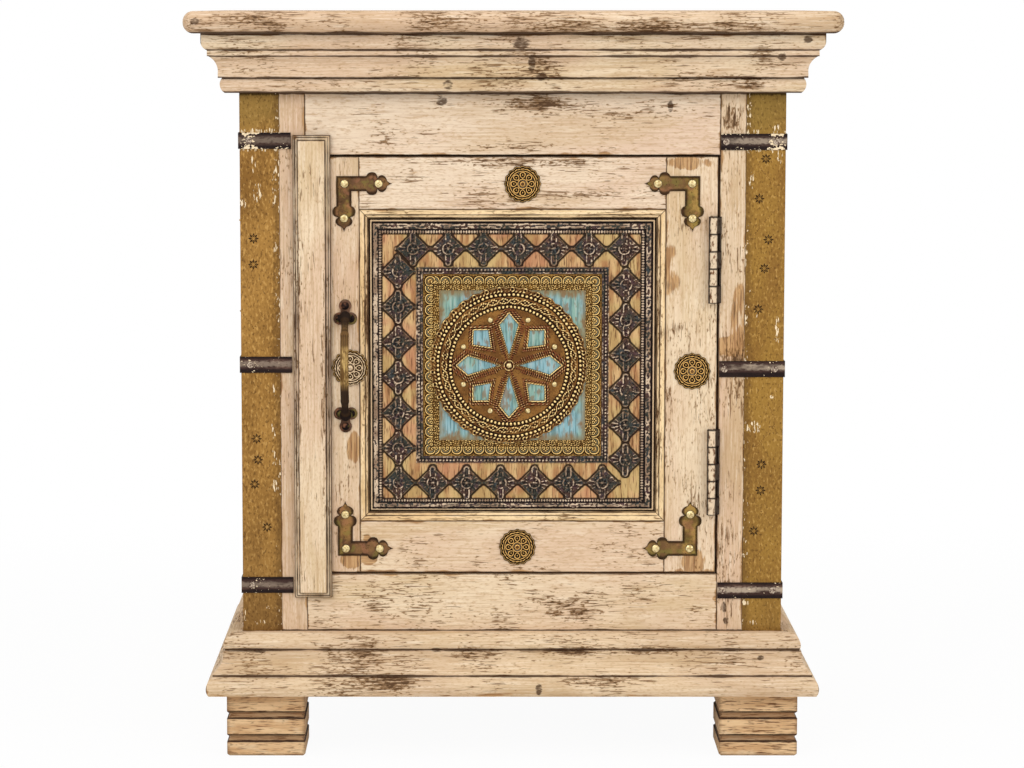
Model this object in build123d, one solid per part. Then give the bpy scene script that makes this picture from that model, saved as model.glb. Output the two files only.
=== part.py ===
from build123d import *
import math
import os

# Carved and brass-clad cabinet with one door, in millimetres.
# The origin is the middle of the footprint on the floor. +Z is up and the door faces -Y.

# ---------------------------------------------------------------------- driving sizes
# Carcass, from the floor up
FOOT_HEIGHT = 56.0
BASE_HEIGHT = 53.0            # moulding above the feet
POST_REVEAL = 471.0           # post seen between base moulding and cornice
CORNICE_HEIGHT = 51.0
TOP_THICKNESS = 19.0
CARCASS_WIDTH = 472.0         # over the posts
CARCASS_DEPTH = 345.0         # post face to back
TOP_OVERHANG = 45.0           # at the front and both sides
TOP_CORNER_RADIUS = 9.0
TOP_NOSE_FLAT = 1.0           # upright strip left between the two rounds of the nose

POST_SIZE = 34.0
SLEEVE_THICKNESS = 0.6
FRAME_THICKNESS = 20.0
STILE_WIDTH = 22.5
RAIL_TOP_REVEAL = 53.7        # face frame rail seen below the cornice
RAIL_BOTTOM_REVEAL = 50.5     # and above the base moulding
SIDE_RAIL_THICKNESS = 18.0
SIDE_RAIL_REVEAL = 30.0
SIDE_PANEL_THICKNESS = 10.0
SIDE_PANEL_RECESS = 7.0
GROOVE_DEPTH = 5.0
BACK_THICKNESS = 8.0
BACK_REBATE = 17.0
BOARD_THICKNESS = 14.0        # bottom board and shelf
SHELF_HEIGHT = 190.0          # shelf's top above the bottom board's top
SHELF_SETBACK = 14.0          # shelf's front behind the back of the face frame
BOARD_CLEARANCE = 0.5
CLEAT_SIZE = 12.0

# Mouldings: how far each part of the section stands out from the carcass
CORNICE_BEAD_OUT = 15.5
CORNICE_COVE_OUT = 17.0
CORNICE_FILLET_OUT = 25.5
CORNICE_OUT = 30.5
BASE_TOP_OUT = 16.0
BASE_COVE_OUT = 25.5
BASE_OUT = 31.0
CORNICE_BEAD_BACK = (4.0, 2.0)     # how far the bead draws back at its foot and at its neck
CORNICE_COVE_STEP = 4.0       # upright step under the cove
CORNICE_COVE_DIP = (1.8, 5.6)      # middle of the cove: out from its foot, down from its top
CORNICE_LEDGE = 1.0           # cove's end and ovolo's middle behind the face above them
BASE_TORUS_BACK = 2.0         # how far the torus draws back at its foot
BASE_COVE_DIP = (3.4, 6.8)         # middle of the cove: out from the top's face, up from its foot
BASE_QUIRK = 0.8              # depth of the upper quirk
BASE_ROUND_BACK = (1.6, 6.5)       # how far the rounded top draws back at its middle and its end

FOOT_SIZE = 68.5
FOOT_OUT = 14.0               # foot's face outside the carcass
FOOT_GROOVE = 3.2
FOOT_GROOVE_LEVELS = (16.0, 36.5)
FOOT_CHAMFER = 2.0

# Iron straps
STRAP_HEIGHT = 14.0
STRAP_THICKNESS = 1.2
STRAP_LEVELS_LEFT = (149.8, 344.0, 538.6)
STRAP_LEVELS_RIGHT = (144.9, 340.2, 537.6)
STRAP_REACH_LEFT = 44.2       # along the face, from the post's corner
STRAP_REACH_RIGHT = 56.0
STRAP_REACH_SIDE = 40.0
STRAP_SCREW_INSET = 8.0
STRAP_SCREW_END_INSET = 4.5
STRAP_SCREW_HEAD = 2.8
STRAP_SCREW_HEAD_HEIGHT = 1.3
STRAP_SCREW_SHANK = 1.1
STRAP_SCREW_LENGTH = 12.0
STRAP_SCREW_DIMPLE = 1.3

# Door
DOOR_GAP = 1.7
DOOR_PROUD = 0.3              # door face in front of the face frame
DOOR_THICKNESS = 20.0
DOOR_STILE_WIDTH = 44.8
DOOR_RAIL_WIDTH = 45.2
PANEL_GROOVE = 6.0
PANEL_TONGUE = 7.0
PANEL_FIELD_SETBACK = 5.0     # carved field behind the door's face
PANEL_FIELD_THICKNESS = 4.0
PANEL_STRIP_WIDTH = 7.9
PANEL_STRIP_FLAT = 3.0
PANEL_STRIP_LIP = 5.5
PANEL_FIELD_GAP = 0.5

# Carving on the panel
EDGE_FILLET_INSET = 0.9       # thin raised line inside the strips
EDGE_FILLET_WIDTH = 1.3
EDGE_FILLET_HEIGHT = 1.8
BORDER_INSET = 3.1            # border's outer edge inside the field's
BORDER_WIDTH = 5.1
BORDER_HEIGHT = 2.6
BEAD_WIDTH = 3.4
BEAD_HEIGHT = 1.2
INNER_BEAD_GAP = 4.5
LOZENGE_HALF = 14.0
LOZENGE_PITCH = 30.6
LOZENGE_HEIGHT = 1.4
LOZENGE_COUNT = 7
LOZENGE_BOSS_RADIUS = 3.6
LOZENGE_BOSS_HEIGHT = 1.0

# Brass on the panel
FRIEZE_HALF_WIDTH = 77.8
FRIEZE_HALF_HEIGHT = 79.8
FRIEZE_BAND = 14.1
FRIEZE_THICKNESS = 0.6
MEDALLION_RADIUS = 69.5
MEDALLION_OFFSET = -2.9       # sideways from the door's middle
MEDALLION_THICKNESS = 0.9
MEDALLION_FLANGE = 3.5        # flat edge outside the rim
MEDALLION_RIM = 16.0
MEDALLION_CLEARANCE = 0.3     # between its edge and the frieze, which is cut round it
MEDALLION_RIM_HEIGHT = 2.4
KITE_STRAIGHT = (9.5, 47.0, 7.6, 37.0)     # inner point, outer point, half width, widest at
KITE_DIAGONAL = (22.5, 45.0, 9.2, 35.5)
MEDALLION_NAIL_CIRCLE = 43.0
MEDALLION_NAIL_COUNT = 8
MEDALLION_NAIL_RADIUS = 2.3
MEDALLION_NAIL_HEIGHT = 1.5
MEDALLION_NAIL_SHANK = 0.7
MEDALLION_NAIL_LENGTH = 4.0

# Cover batten on the door's free edge
BATTEN_WIDTH = 32.5
BATTEN_OVERLAP = 10.6         # past the opening's edge
BATTEN_OVERLAP_TOP = 17.2
BATTEN_OVERLAP_BOTTOM = 20.2
BATTEN_THICKNESS = 9.0
BATTEN_EDGE_THICKNESS = 4.5
BATTEN_EDGE_WIDTH = 4.2
BATTEN_ROUND = 1.5

# Corner brackets
BRACKET_THICKNESS = 1.0
BRACKET_ARM_WIDTH = 13.0
BRACKET_LENGTH = 48.0
BRACKET_LOBE = (32.0, 9.4)    # distance from the corner, radius
BRACKET_TIP_LOBE = (40.0, 6.6)
BRACKET_INSET_LEFT = 25.3     # bracket's corner from the door's edge
BRACKET_INSET_RIGHT = 15.6
BRACKET_INSET_TOP = 16.5
BRACKET_INSET_BOTTOM = 14.6
BRACKET_NAIL_FAR = 36.6

DOOR_NAIL_RADIUS = 3.7
DOOR_NAIL_HEIGHT = 2.2
DOOR_NAIL_SHANK = 1.0
DOOR_NAIL_LENGTH = 9.0

# Rosettes
ROSETTE_RADIUS = 16.2
ROSETTE_RING = 3.8
ROSETTE_HEIGHT = 2.4
ROSETTE_FLOOR = 0.9
ROSETTE_PETALS = 8
ROSETTE_HUB = 5.5
ROSETTE_PETAL_LAP = 0.5       # of each petal's ends into the hub and the ring
ROSETTE_TOP = (8.6, 23.3)     # sideways from the door's middle, down from its top
ROSETTE_BOTTOM = (4.5, 22.3)       # sideways from the door's middle, up from its bottom
ROSETTE_LEFT = (36.6, 1.6)    # from the door's free edge, down from its middle
ROSETTE_RIGHT = (21.4, 4.5)        # from the door's hinge edge, down from its middle

# Handle
HANDLE_INSET = 32.5
HANDLE_HALF_SPAN = 44.0
HANDLE_BOW = 25.0
HANDLE_GRIP_RADIUS = 3.65
HANDLE_PLATE_THICKNESS = 1.6
HANDLE_LOBE_RADIUS = 5.4
HANDLE_LOBE_SPREAD = 4.9
HANDLE_LOBE_RISE = 11.2
HANDLE_SCREW_RADIUS = 1.6
HANDLE_SCREW_BITE = 6.0
HANDLE_SCREW_HEAD = 3.4
HANDLE_SCREW_HEAD_HEIGHT = 2.0

# Hinges
HINGE_LENGTH = 75.0
HINGE_LEVELS = (250.0, 435.5)
HINGE_KNUCKLES = 5
KNUCKLE_CLEARANCE = 0.2
BARREL_RADIUS = 4.1
BARREL_STANDOFF = 0.4
HINGE_PIN_RADIUS = 1.6
HINGE_PIN_CLEARANCE = 0.05
HINGE_PIN_HEAD = 1.2
HINGE_LEAF_THICKNESS = 1.5
HINGE_LEAF_DEPTH = 17.0
HINGE_SCREW_RADIUS = 1.4
HINGE_SCREW_HEAD = 2.6
HINGE_SCREW_LENGTH = 13.0
HINGE_SCREW_PITCH = 25.0
HINGE_SCREW_SETBACK = 10.0

# Magnetic catch inside the free edge
CATCH_HEIGHT = 40.0
CATCH_WIDTH = 24.0
CATCH_THICKNESS = 12.0
CATCH_REACH = 8.0             # past the opening's edge, behind the door
CATCH_LEVEL = 50.0            # catch's bottom above the shelf
STRIKE_THICKNESS = 1.2
STRIKE_WIDTH = 14.0

# ---------------------------------------------------------------------- derived places
SIDE_X = CARCASS_WIDTH / 2                    # outer face of the posts
DEPTH = CARCASS_DEPTH + TOP_OVERHANG
BACK_Y = DEPTH / 2
FACE_Y = BACK_Y - CARCASS_DEPTH               # face of the posts and the face frame
FRAME_BACK_Y = FACE_Y + FRAME_THICKNESS
POST_BACK_Y = FACE_Y + POST_SIZE
REAR_POST_Y = BACK_Y - POST_SIZE
POST_X = SIDE_X - POST_SIZE                   # inner face of the posts
BASE_Z = FOOT_HEIGHT
BASE_TOP_Z = BASE_Z + BASE_HEIGHT
CORNICE_Z = BASE_TOP_Z + POST_REVEAL
CARCASS_TOP_Z = CORNICE_Z + CORNICE_HEIGHT
TOP_Z = CARCASS_TOP_Z + TOP_THICKNESS

OPENING_X = POST_X - STILE_WIDTH              # half width of the door opening
OPENING_LOW = BASE_TOP_Z + RAIL_BOTTOM_REVEAL
OPENING_HIGH = CORNICE_Z - RAIL_TOP_REVEAL
SHELF_TOP_Z = OPENING_LOW + SHELF_HEIGHT

DOOR_X = OPENING_X - DOOR_GAP
DOOR_LOW = OPENING_LOW + DOOR_GAP
DOOR_HIGH = OPENING_HIGH - DOOR_GAP
DOOR_MIDDLE = (DOOR_LOW + DOOR_HIGH) / 2
DOOR_FACE_Y = FACE_Y - DOOR_PROUD
DOOR_BACK_Y = DOOR_FACE_Y + DOOR_THICKNESS
SIGHT_X = DOOR_X - DOOR_STILE_WIDTH           # half width inside the door's stiles
SIGHT_Z = DOOR_MIDDLE - DOOR_LOW - DOOR_RAIL_WIDTH
FIELD_X = SIGHT_X - PANEL_STRIP_WIDTH - PANEL_FIELD_GAP
FIELD_Z = SIGHT_Z - PANEL_STRIP_WIDTH - PANEL_FIELD_GAP
FIELD_Y = DOOR_FACE_Y + PANEL_FIELD_SETBACK
TONGUE_Y = FIELD_Y + PANEL_FIELD_THICKNESS

HINGE_X = DOOR_X - BARREL_RADIUS
HINGE_Y = DOOR_FACE_Y - BARREL_RADIUS - BARREL_STANDOFF
HINGE_HALF = HINGE_LENGTH / 2

OUTWARD = (0, -1, 0)
INWARD = (0, 1, 0)


# ---------------------------------------------------------------------- shape helpers
def block(x, y, z):
    """Box between two coordinates on each axis."""
    spans = (x, y, z)
    middle = [(low + high) / 2 for low, high in spans]
    size = [abs(high - low) for low, high in spans]
    return Pos(*middle) * Box(*size)


def outline(start, *steps):
    """Closed face: a point is reached by a line, a (via, end) pair of points by an arc."""
    edges = []
    here = start
    for step in steps:
        if isinstance(step[0], tuple):
            via, end = step
            edges.append(ThreePointArc(here, via, end))
        else:
            end = step
            edges.append(Line(here, end))
        here = end
    if here != start:
        edges.append(Line(here, start))
    return make_face(Wire(edges))


def along(face, origin, across, up, length):
    """Carry a section, drawn as (across, up), for a length square to it."""
    plane = Plane(origin=origin, x_dir=across, z_dir=Vector(*across).cross(Vector(*up)))
    return extrude(plane * face, amount=length)


def rod(start, direction, radius, length):
    """Cylinder that begins at a point and runs along a direction."""
    place = Plane(origin=start, z_dir=direction).location
    return place * Pos(0, 0, length / 2) * Cylinder(radius, length)


def turned(face, start, direction):
    """Turn a (radius, height) section about its height and stand it on a point."""
    place = Plane(origin=start, z_dir=direction).location
    return place * revolve(Plane.XZ * face, Axis.Z)


def other_side(shape):
    """The same piece on the opposite side of the cabinet."""
    return mirror(shape, about=Plane.YZ)


def dome_nail(start, head_radius, head_height, shank_radius, shank_length):
    """Domed nail whose head sits at start and whose shank runs into the wood."""
    rim, top = (head_radius, 0), (0, head_height)
    section = outline((0, -shank_length), (shank_radius, -shank_length), (shank_radius, 0),
                      rim, (crown(top, rim), top))
    return turned(section, start, OUTWARD)


def crown(top, foot):
    """Middle point of the arc that leaves top level and comes down to foot."""
    run, fall = foot[0] - top[0], top[1] - foot[1]
    radius = (run ** 2 + fall ** 2) / (2 * fall)
    half_turn = math.atan2(run, radius - fall) / 2
    return top[0] + radius * math.sin(half_turn), top[1] - radius * (1 - math.cos(half_turn))


def drilled(piece, holes):
    """The piece with every hole cut that reaches it."""
    return piece - holes


# ---------------------------------------------------------------------- carcass
def top_board():
    width = SIDE_X + TOP_OVERHANG
    board = block((-width, width), (-BACK_Y, BACK_Y), (CARCASS_TOP_Z, TOP_Z))
    front_corners = board.edges().filter_by(Axis.Z).group_by(Axis.Y)[0]
    board = fillet(front_corners, TOP_CORNER_RADIUS)
    rims = board.edges().filter_by(lambda edge: not edge.center().Y > BACK_Y - BOARD_CLEARANCE)
    rims = rims.filter_by(lambda edge: abs(edge.center().Z - (CARCASS_TOP_Z + TOP_Z) / 2) > 1)
    return fillet(rims, (TOP_THICKNESS - TOP_NOSE_FLAT) / 2)


def cornice_section():
    """Bead, cove, fillet and ovolo, from the bottom up."""
    bead = 0.255 * CORNICE_HEIGHT
    cove = 0.62 * CORNICE_HEIGHT
    fillet_top = 0.72 * CORNICE_HEIGHT
    nose = 0.86 * CORNICE_HEIGHT
    bead_foot, bead_neck = CORNICE_BEAD_BACK
    dip_out, dip_down = CORNICE_COVE_DIP
    return outline(
        (0, 0), (CORNICE_BEAD_OUT - bead_foot, 0),
        ((CORNICE_BEAD_OUT, bead * 0.52), (CORNICE_BEAD_OUT - bead_neck, bead)),
        (CORNICE_COVE_OUT, bead), (CORNICE_COVE_OUT, bead + CORNICE_COVE_STEP),
        ((CORNICE_COVE_OUT + dip_out, cove - dip_down), (CORNICE_FILLET_OUT - CORNICE_LEDGE, cove)),
        (CORNICE_FILLET_OUT, cove), (CORNICE_FILLET_OUT, fillet_top),
        ((CORNICE_OUT - CORNICE_LEDGE, (fillet_top + nose) / 2), (CORNICE_OUT, nose)),
        (CORNICE_OUT, CORNICE_HEIGHT), (0, CORNICE_HEIGHT))


def base_section():
    """Torus, quirk, cove, quirk and rounded top, from the bottom up."""
    torus = 0.31 * BASE_HEIGHT
    quirk = 0.36 * BASE_HEIGHT
    cove_end = 0.59 * BASE_HEIGHT
    upper_quirk = 0.71 * BASE_HEIGHT
    upper_bead = 0.76 * BASE_HEIGHT
    dip_out, dip_up = BASE_COVE_DIP
    round_middle, round_end = BASE_ROUND_BACK
    return outline(
        (0, 0), (BASE_OUT - BASE_TORUS_BACK, 0),
        ((BASE_OUT, torus * 0.45), (BASE_COVE_OUT, torus)),
        (BASE_COVE_OUT, quirk),
        ((BASE_TOP_OUT + dip_out, quirk + dip_up), (BASE_TOP_OUT + BASE_QUIRK, cove_end)),
        (BASE_TOP_OUT + BASE_QUIRK, upper_quirk), (BASE_TOP_OUT - BASE_QUIRK, upper_quirk),
        (BASE_TOP_OUT - BASE_QUIRK, upper_bead), (BASE_TOP_OUT, upper_bead),
        ((BASE_TOP_OUT - round_middle, BASE_HEIGHT * 0.92), (BASE_TOP_OUT - round_end, BASE_HEIGHT)),
        (0, BASE_HEIGHT))


def applied_moulding(section, level):
    """Front, left and right lengths of a moulding, mitred where they meet."""
    reach = section.bounding_box().max.X
    corner_x = SIDE_X
    mitre = Plane(origin=(-corner_x, FACE_Y, level), z_dir=(1, -1, 0))
    span = 2 * (corner_x + reach)
    front = along(section, (corner_x + reach, FACE_Y, level), (0, -1, 0), (0, 0, 1), span)
    front = split(front, bisect_by=mitre, keep=Keep.TOP)
    other_mitre = Plane(origin=(corner_x, FACE_Y, level), z_dir=(-1, -1, 0))
    front = split(front, bisect_by=other_mitre, keep=Keep.TOP)
    run = CARCASS_DEPTH + reach
    left = along(section, (-corner_x, FACE_Y - reach, level), (-1, 0, 0), (0, 0, 1), run)
    left = split(left, bisect_by=mitre, keep=Keep.BOTTOM)
    return front, left, other_side(left)


def side_panel():
    """Left side's panel, with its tongues."""
    outer = -SIDE_X + SIDE_PANEL_RECESS
    return block((outer, outer + SIDE_PANEL_THICKNESS),
                 (POST_BACK_Y - GROOVE_DEPTH, REAR_POST_Y + GROOVE_DEPTH),
                 (BASE_TOP_Z + SIDE_RAIL_REVEAL - GROOVE_DEPTH,
                  CORNICE_Z - SIDE_RAIL_REVEAL + GROOVE_DEPTH))


def side_rails():
    """Left side's lower and upper rail, grooved for the panel."""
    inner = -SIDE_X + SIDE_RAIL_THICKNESS
    depth = (POST_BACK_Y, REAR_POST_Y)
    lower = block((-SIDE_X, inner), depth, (BASE_Z, BASE_TOP_Z + SIDE_RAIL_REVEAL))
    upper = block((-SIDE_X, inner), depth, (CORNICE_Z - SIDE_RAIL_REVEAL, CARCASS_TOP_Z))
    return [lower - side_panel(), upper - side_panel()]


def front_post():
    """Left front post, inside its brass sleeve."""
    wood = block((-SIDE_X + SLEEVE_THICKNESS, -POST_X), (FACE_Y + SLEEVE_THICKNESS, POST_BACK_Y),
                 (BASE_Z, CARCASS_TOP_Z))
    return wood - side_panel()


def sleeve():
    """Brass sheet folded round the left front post's two outer faces."""
    sheet = block((-SIDE_X, -POST_X), (FACE_Y, POST_BACK_Y), (BASE_Z, CARCASS_TOP_Z))
    core = block((-SIDE_X + SLEEVE_THICKNESS, -POST_X + POST_SIZE),
                 (FACE_Y + SLEEVE_THICKNESS, POST_BACK_Y + POST_SIZE), (BASE_Z, CARCASS_TOP_Z))
    return sheet - core


def back_panel():
    edge = POST_X + BACK_REBATE
    return block((-edge, edge), (BACK_Y - BACK_THICKNESS, BACK_Y), (BASE_Z, CARCASS_TOP_Z))


def back_post():
    """Left back post, rebated for the back panel and grooved for the side panel."""
    wood = block((-SIDE_X, -POST_X), (REAR_POST_Y, BACK_Y), (BASE_Z, CARCASS_TOP_Z))
    return wood - side_panel() - back_panel()


def face_stile():
    """Left stile of the face frame."""
    return block((-POST_X, -OPENING_X), (FACE_Y, FRAME_BACK_Y), (BASE_Z, CARCASS_TOP_Z))


def face_rail(low, high):
    return block((-OPENING_X, OPENING_X), (FACE_Y, FRAME_BACK_Y), (low, high))


def notched_board(front_y, top_z):
    """Board notched round the four posts."""
    inner_x = SIDE_X - SIDE_PANEL_RECESS - SIDE_PANEL_THICKNESS - BOARD_CLEARANCE
    neck_x = POST_X - BOARD_CLEARANCE
    levels = (top_z - BOARD_THICKNESS, top_z)
    middle = (POST_BACK_Y + BOARD_CLEARANCE, REAR_POST_Y - BOARD_CLEARANCE)
    board = block((-inner_x, inner_x), middle, levels)
    return board + block((-neck_x, neck_x), (front_y, BACK_Y - BACK_THICKNESS), levels)


def cleats():
    """Four bearers on the side panels: two under the bottom board, two under the shelf."""
    wall = SIDE_X - SIDE_PANEL_RECESS - SIDE_PANEL_THICKNESS
    bearers = []
    for top in (OPENING_LOW - BOARD_THICKNESS, SHELF_TOP_Z - BOARD_THICKNESS):
        bearer = block((-wall, -wall + CLEAT_SIZE), (POST_BACK_Y, REAR_POST_Y), (top - CLEAT_SIZE, top))
        bearers += [bearer - Compound(side_rails()), other_side(bearer - Compound(side_rails()))]
    return bearers


def foot(front):
    """Left foot: a square block cut into three by V-grooves that run all round it."""
    half = FOOT_SIZE / 2
    edge = [(half - FOOT_CHAMFER, 0), (half, FOOT_CHAMFER)]
    for level in FOOT_GROOVE_LEVELS:
        edge += [(half, level - FOOT_GROOVE), (half - FOOT_GROOVE, level), (half, level + FOOT_GROOVE)]
    edge += [(half, FOOT_HEIGHT)]
    silhouette = outline(*edge, *[(-x, z) for x, z in reversed(edge)])
    across = along(silhouette, (0, half, 0), (1, 0, 0), (0, 0, 1), FOOT_SIZE)
    deep = along(silhouette, (-half, 0, 0), (0, 1, 0), (0, 0, 1), FOOT_SIZE)
    centre_x = -SIDE_X - FOOT_OUT + half
    centre_y = FACE_Y - FOOT_OUT + half if front else BACK_Y - half
    return Pos(centre_x, centre_y, 0) * (across & deep)


# ---------------------------------------------------------------------- iron straps
def strap_screw(start, direction):
    """Flat screw with a dimpled head, its shank through the strap into the post."""
    dimple_floor = STRAP_SCREW_HEAD_HEIGHT / 2
    lip = (STRAP_SCREW_HEAD * 0.75, STRAP_SCREW_HEAD_HEIGHT)
    section = outline((0, -STRAP_SCREW_LENGTH), (STRAP_SCREW_SHANK, -STRAP_SCREW_LENGTH),
                      (STRAP_SCREW_SHANK, 0), (STRAP_SCREW_HEAD, 0),
                      (STRAP_SCREW_HEAD, dimple_floor), (lip, (STRAP_SCREW_DIMPLE, dimple_floor)),
                      (0, dimple_floor))
    return turned(section, start, direction)


def strap(reach, level):
    """Left-hand strap: a flat bar bent round the post's corner."""
    low, high = level - STRAP_HEIGHT / 2, level + STRAP_HEIGHT / 2
    corner_x = -SIDE_X - STRAP_THICKNESS
    corner_y = FACE_Y - STRAP_THICKNESS
    bar = block((corner_x, -SIDE_X + reach), (corner_y, FACE_Y + STRAP_REACH_SIDE), (low, high))
    return bar - block((-SIDE_X, SIDE_X), (FACE_Y, BACK_Y), (low, high))


def strap_screws(reach, level, both_ends):
    """Screws of one left-hand strap: near the corner, at its side and, on a long one, at its end."""
    face = FACE_Y - STRAP_THICKNESS
    side = -SIDE_X - STRAP_THICKNESS
    screws = [strap_screw((-SIDE_X + STRAP_SCREW_INSET, face, level), OUTWARD),
              strap_screw((side, FACE_Y + POST_SIZE - STRAP_SCREW_INSET, level), (-1, 0, 0))]
    if both_ends:
        screws.append(strap_screw((-SIDE_X + reach - STRAP_SCREW_END_INSET, face, level), OUTWARD))
    return screws


# ---------------------------------------------------------------------- door frame and panel
def door_stile(left):
    side = -1 if left else 1
    return block(sorted((side * DOOR_X, side * SIGHT_X)), (DOOR_FACE_Y, DOOR_BACK_Y), (DOOR_LOW, DOOR_HIGH))


def door_rail(low, high):
    return block((-SIGHT_X, SIGHT_X), (DOOR_FACE_Y, DOOR_BACK_Y), (low, high))


def panel_tongue():
    """Board edge that the door's grooves hold."""
    return block((-SIGHT_X - PANEL_GROOVE, SIGHT_X + PANEL_GROOVE), (TONGUE_Y, TONGUE_Y + PANEL_TONGUE),
                 (DOOR_MIDDLE - SIGHT_Z - PANEL_GROOVE, DOOR_MIDDLE + SIGHT_Z + PANEL_GROOVE))


def panel_strips():
    """Four mitred strips: flat at the outer edge, then a round that falls to the panel."""
    rise = TONGUE_Y - DOOR_FACE_Y
    lip, shoulder = (PANEL_STRIP_WIDTH, PANEL_STRIP_LIP), (PANEL_STRIP_FLAT, rise)
    section = outline((0, 0), (PANEL_STRIP_WIDTH, 0), lip, (crown(shoulder, lip), shoulder), (0, rise))
    strips = []
    for turn in range(4):
        half_length, offset = (SIGHT_X, SIGHT_Z) if turn % 2 == 0 else (SIGHT_Z, SIGHT_X)
        strip = along(section, (half_length, TONGUE_Y, offset), (0, 0, -1), (0, -1, 0), 2 * half_length)
        for side in (-1, 1):
            mitre = Plane(origin=(side * half_length, 0, offset), z_dir=(-side, 0, 1))
            strip = split(strip, bisect_by=mitre, keep=Keep.TOP)
        strips.append(Pos(0, 0, DOOR_MIDDLE) * Rot(0, 90 * turn, 0) * strip)
    return strips


def panel_ring(half_x, half_z, width, height):
    """Raised rectangle that stands on the panel's field."""
    ring = block((-half_x, half_x), (FIELD_Y - height, FIELD_Y), (-half_z, half_z))
    inside = block((-half_x + width, half_x - width), (FIELD_Y - height, FIELD_Y),
                   (-half_z + width, half_z - width))
    return Pos(0, 0, DOOR_MIDDLE) * (ring - inside)


def lozenge_places():
    """Centres of the lozenges: four runs, each starting from one corner of the band."""
    outer_x = FIELD_X - BORDER_INSET - BORDER_WIDTH - BEAD_WIDTH
    outer_z = FIELD_Z - BORDER_INSET - BORDER_WIDTH - BEAD_WIDTH
    band_x = (outer_x + FRIEZE_HALF_WIDTH + INNER_BEAD_GAP + BEAD_WIDTH) / 2
    band_z = (outer_z + FRIEZE_HALF_HEIGHT + INNER_BEAD_GAP + BEAD_WIDTH) / 2
    places = []
    for step in range(LOZENGE_COUNT):
        run = step * LOZENGE_PITCH
        for turn in (1, -1):
            places.append((turn * (band_x - run), turn * band_z))
            if step > 0:
                places.append((turn * band_x, turn * (band_z - run)))
    return places


def carved_panel():
    field = block((-FIELD_X, FIELD_X), (FIELD_Y, TONGUE_Y), (DOOR_MIDDLE - FIELD_Z, DOOR_MIDDLE + FIELD_Z))
    panel = panel_tongue() + field
    inset = EDGE_FILLET_INSET
    panel += panel_ring(FIELD_X - inset, FIELD_Z - inset, EDGE_FILLET_WIDTH, EDGE_FILLET_HEIGHT)
    panel += panel_ring(FIELD_X - BORDER_INSET, FIELD_Z - BORDER_INSET, BORDER_WIDTH, BORDER_HEIGHT)
    inset = BORDER_INSET + BORDER_WIDTH
    panel += panel_ring(FIELD_X - inset, FIELD_Z - inset, BEAD_WIDTH, BEAD_HEIGHT)
    bead_x = FRIEZE_HALF_WIDTH + INNER_BEAD_GAP + BEAD_WIDTH
    bead_z = FRIEZE_HALF_HEIGHT + INNER_BEAD_GAP + BEAD_WIDTH
    panel += panel_ring(bead_x, bead_z, BEAD_WIDTH, BEAD_HEIGHT)
    diamond = outline((LOZENGE_HALF, 0), (0, LOZENGE_HALF), (-LOZENGE_HALF, 0), (0, -LOZENGE_HALF))
    tile = along(diamond, (0, FIELD_Y, 0), (1, 0, 0), (0, 0, 1), LOZENGE_HEIGHT)
    boss_height = LOZENGE_HEIGHT + LOZENGE_BOSS_HEIGHT
    tile += rod((0, FIELD_Y, 0), OUTWARD, LOZENGE_BOSS_RADIUS, boss_height)
    panel += [Pos(x, 0, DOOR_MIDDLE + z) * tile for x, z in lozenge_places()]
    return panel


# ---------------------------------------------------------------------- brass on the panel
def brass_frieze():
    """Flat band round the medallion, whose edge it is cut back for."""
    band = panel_ring(FRIEZE_HALF_WIDTH, FRIEZE_HALF_HEIGHT, FRIEZE_BAND, FRIEZE_THICKNESS)
    middle = (MEDALLION_OFFSET, FIELD_Y, DOOR_MIDDLE)
    return band - rod(middle, OUTWARD, MEDALLION_RADIUS + MEDALLION_CLEARANCE, FRIEZE_THICKNESS)


def medallion():
    """Pierced disc with a raised rim; the kite-shaped holes show the ground behind it."""
    disc = rod((0, FIELD_Y, 0), OUTWARD, MEDALLION_RADIUS, MEDALLION_THICKNESS)
    rim_outer = MEDALLION_RADIUS - MEDALLION_FLANGE
    rim_inner = rim_outer - MEDALLION_RIM
    rim = outline((rim_inner, 0), (rim_outer, 0),
                  (((rim_inner + rim_outer) / 2, MEDALLION_RIM_HEIGHT), (rim_inner, 0)))
    disc += turned(rim, (0, FIELD_Y - MEDALLION_THICKNESS, 0), OUTWARD)
    holes = []
    for first_turn, (inner, outer, half_width, widest) in ((0, KITE_STRAIGHT), (45, KITE_DIAGONAL)):
        kite = outline((0, inner), (half_width, widest), (0, outer), (-half_width, widest))
        hole = along(kite, (0, FIELD_Y, 0), (1, 0, 0), (0, 0, 1), MEDALLION_THICKNESS)
        holes += [Rot(0, first_turn + 90 * quarter, 0) * hole for quarter in range(4)]
    return Pos(MEDALLION_OFFSET, 0, DOOR_MIDDLE) * (disc - holes)


def medallion_nails():
    """Eight nails on a circle between the holes, and one in the middle."""
    places = [(0, 0)]
    for number in range(MEDALLION_NAIL_COUNT):
        angle = 2 * math.pi * (number + 0.5) / MEDALLION_NAIL_COUNT
        places.append((MEDALLION_NAIL_CIRCLE * math.cos(angle), MEDALLION_NAIL_CIRCLE * math.sin(angle)))
    return [dome_nail((MEDALLION_OFFSET + x, FIELD_Y - MEDALLION_THICKNESS, DOOR_MIDDLE + z),
                      MEDALLION_NAIL_RADIUS, MEDALLION_NAIL_HEIGHT, MEDALLION_NAIL_SHANK,
                      MEDALLION_NAIL_LENGTH)
            for x, z in places]


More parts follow.
